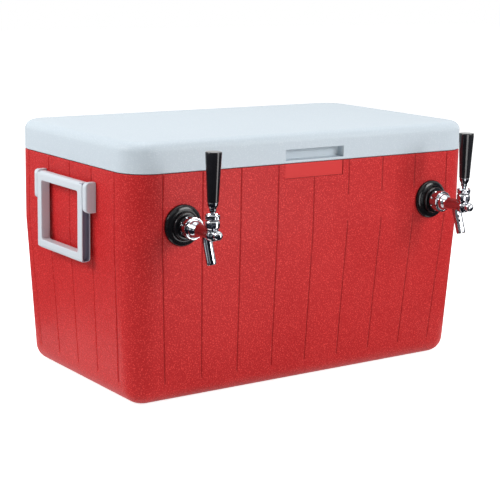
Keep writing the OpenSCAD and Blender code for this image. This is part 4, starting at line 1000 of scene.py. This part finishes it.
def coil_route(rings_per_turn=72, bend_rings=14):
    """Points and sideways directions: in from the tap, down the helix
    (c + R cos a, R sin a, h - pitch a / 2 pi), off along its tangent, up, and out to the inlet."""
    x = COIL_X + COIL_RADIUS
    turn = np.linspace(0, 2 * np.pi * COIL_TURNS, COIL_TURNS * rings_per_turn + 1)
    helix = np.stack([COIL_X + COIL_RADIUS * np.cos(turn), COIL_RADIUS * np.sin(turn),
                      TAP_HEIGHT - (TAP_HEIGHT - COIL_FOOT) * turn / turn[-1]], -1)
    helix_side = np.stack([np.cos(turn), np.sin(turn), 0 * turn], -1)
    arc = np.linspace(0, np.pi / 2, bend_rings)
    low = np.stack([np.full(bend_rings, x), RISER_Y - RISER_BEND + RISER_BEND * np.sin(arc),
                    COIL_FOOT + RISER_BEND - RISER_BEND * np.cos(arc)], -1)
    high = np.stack([np.full(bend_rings, x), RISER_Y + RISER_BEND - RISER_BEND * np.cos(arc),
                     TAP_HEIGHT - RISER_BEND + RISER_BEND * np.sin(arc)], -1)
    start = np.array([[x, -COIL_END, TAP_HEIGHT], [x, -COIL_END + 9.0, TAP_HEIGHT]])
    end = np.array([[x, COIL_END - 9.0, TAP_HEIGHT], [x, COIL_END, TAP_HEIGHT]])
    plain = np.array([[1.0, 0.0, 0.0]])
    route = np.concatenate([start, helix, low, high, end])
    sideways = np.concatenate([np.repeat(plain, 2, 0), helix_side, np.repeat(plain, 2 * bend_rings + 2, 0)])
    return route, sideways


def coil_skin(side, tube_sides=14):
    """Ring at each point: p + r (cos b sideways + sin b upwards), with capped ends."""
    route, sideways = coil_route()
    ahead = np.gradient(route, axis=0)
    ahead /= np.linalg.norm(ahead, axis=1, keepdims=True)
    upwards = np.cross(ahead, sideways)
    upwards /= np.linalg.norm(upwards, axis=1, keepdims=True)
    turn = np.linspace(0, 2 * np.pi, tube_sides, endpoint=False)[None, :, None]
    around_it = np.cos(turn) * sideways[:, None] + np.sin(turn) * upwards[:, None]
    rings = route[:, None] + TUBE_RADIUS * around_it
    caps = [np.repeat(route[k][None, None], tube_sides, 1) for k in (0, -1)]
    points = np.concatenate([caps[0], rings, caps[1]]).reshape(-1, 3) * [side, 1, 1]
    return points, grid_quads(len(route) + 2, tube_sides)


for label, side in TAP_SIDES.items():
    coil = new_piece(f"cooling_coil_{label}", [coil_skin(side)], STEEL, "chest")
    print(f"{coil.name}: {len(coil.data.polygons)} faces")

# %% [markdown]
# ## Moulded small parts
# Carry handles, their cheeks, hinge leaves and the drain's cap come out of a mould with soft edges. Their
# solids have the right shape already, so a merged copy of each is remeshed finely and smoothed, which
# rounds its edges. The channels in the handles' arms get painted shade, an attribute that darkens the
# plastic there.

# %% Softened copies
def softened(node, voxel, passes, body):
    """Merged copy of a CAD node's mesh with rounded edges, standing for the node."""
    mesh = nodes[node].data.copy()
    merge_points(mesh, outwards=False)
    piece = remeshed(dress(f"{node}_skin", mesh, TRIM_PLASTIC, body, (node,)), voxel, passes)
    print(f"{piece.name}: {len(piece.data.polygons)} faces")
    return piece


ARM_REACH, CHANNEL_RIM = 9.6, np.array([1.1, 1.0, 1.1])


def mark_channels(piece):
    """Shade attribute for painted shade: 1 for points deeper than a rim inside the box of either arm's
    outer side.
    """
    points = np.empty(len(piece.data.vertices) * 3)
    piece.data.vertices.foreach_get("co", points)
    points = points.reshape(-1, 3) / MM
    inward = np.minimum(points - points.min(0), points.max(0) - points)
    deep = smoothstep(CHANNEL_RIM - 0.5, CHANNEL_RIM + 0.5, inward).prod(1)
    inside = deep * (inward[:, 1] < ARM_REACH)
    layer = piece.data.attributes.new("painted_shade", "FLOAT", "POINT")
    layer.data.foreach_set("value", inside)
    print(f"{piece.name}: {int((inside > 0.5).sum())} points lie in the channels")


for label in TAP_SIDES:
    mark_channels(softened(f"carry_handle_{label}", 0.8, 12, f"{label}_carry_handle"))
    softened(f"handle_brackets_{label}", 0.8, 4, "chest")
    softened(f"hinge_body_leaf_{label}", 0.6, 3, "chest")
    softened(f"hinge_lid_leaf_{label}", 0.6, 3, "lid")
softened("drain_cap", 0.5, 3, "drain_plug")

# %% [markdown]
# ## Paint for everything else
# What is left keeps its solid. Each takes the finish that its slot in the parts record names, so that
# the inside is finished too when the lid is up. The two levers are steel, and plated like the faucets.

# %% Paint
FINISHES = {"shell_red": RED_PLASTIC, "lid_white": WHITE_PLASTIC, "trim_white": TRIM_PLASTIC,
            "liner_white": LINER_PLASTIC, "foam": FOAM, "chrome": CHROME, "steel": STEEL,
            "flange_black": FLANGE_BLACK, "handle_black": KNOB_BLACK, "rubber": RUBBER}
CHROMED = {"tap_lever_left", "tap_lever_right"}


def paint_nodes():
    """Gives every CAD node its slot's finish, and returns how many took each one."""
    taken = {}
    for part in frame["record"]["subparts"]:
        finish = CHROME if part["node"] in CHROMED else FINISHES[part["material_slot"]]
        mesh = nodes[part["node"]].data
        mesh.materials.clear()
        mesh.materials.append(finish)
        taken[finish.name] = taken.get(finish.name, 0) + 1
    return taken


for finish, count in paint_nodes().items():
    print(f"{finish}: {count} nodes")

# %% Sizes, and the end
visual_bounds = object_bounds()
sizes = {"cad": [list(corner) for corner in cad_bounds],
         "visual": [list(corner) for corner in visual_bounds]}
for label, bounds in sizes.items():
    print(label, [[round(value, 4) for value in corner] for corner in bounds])
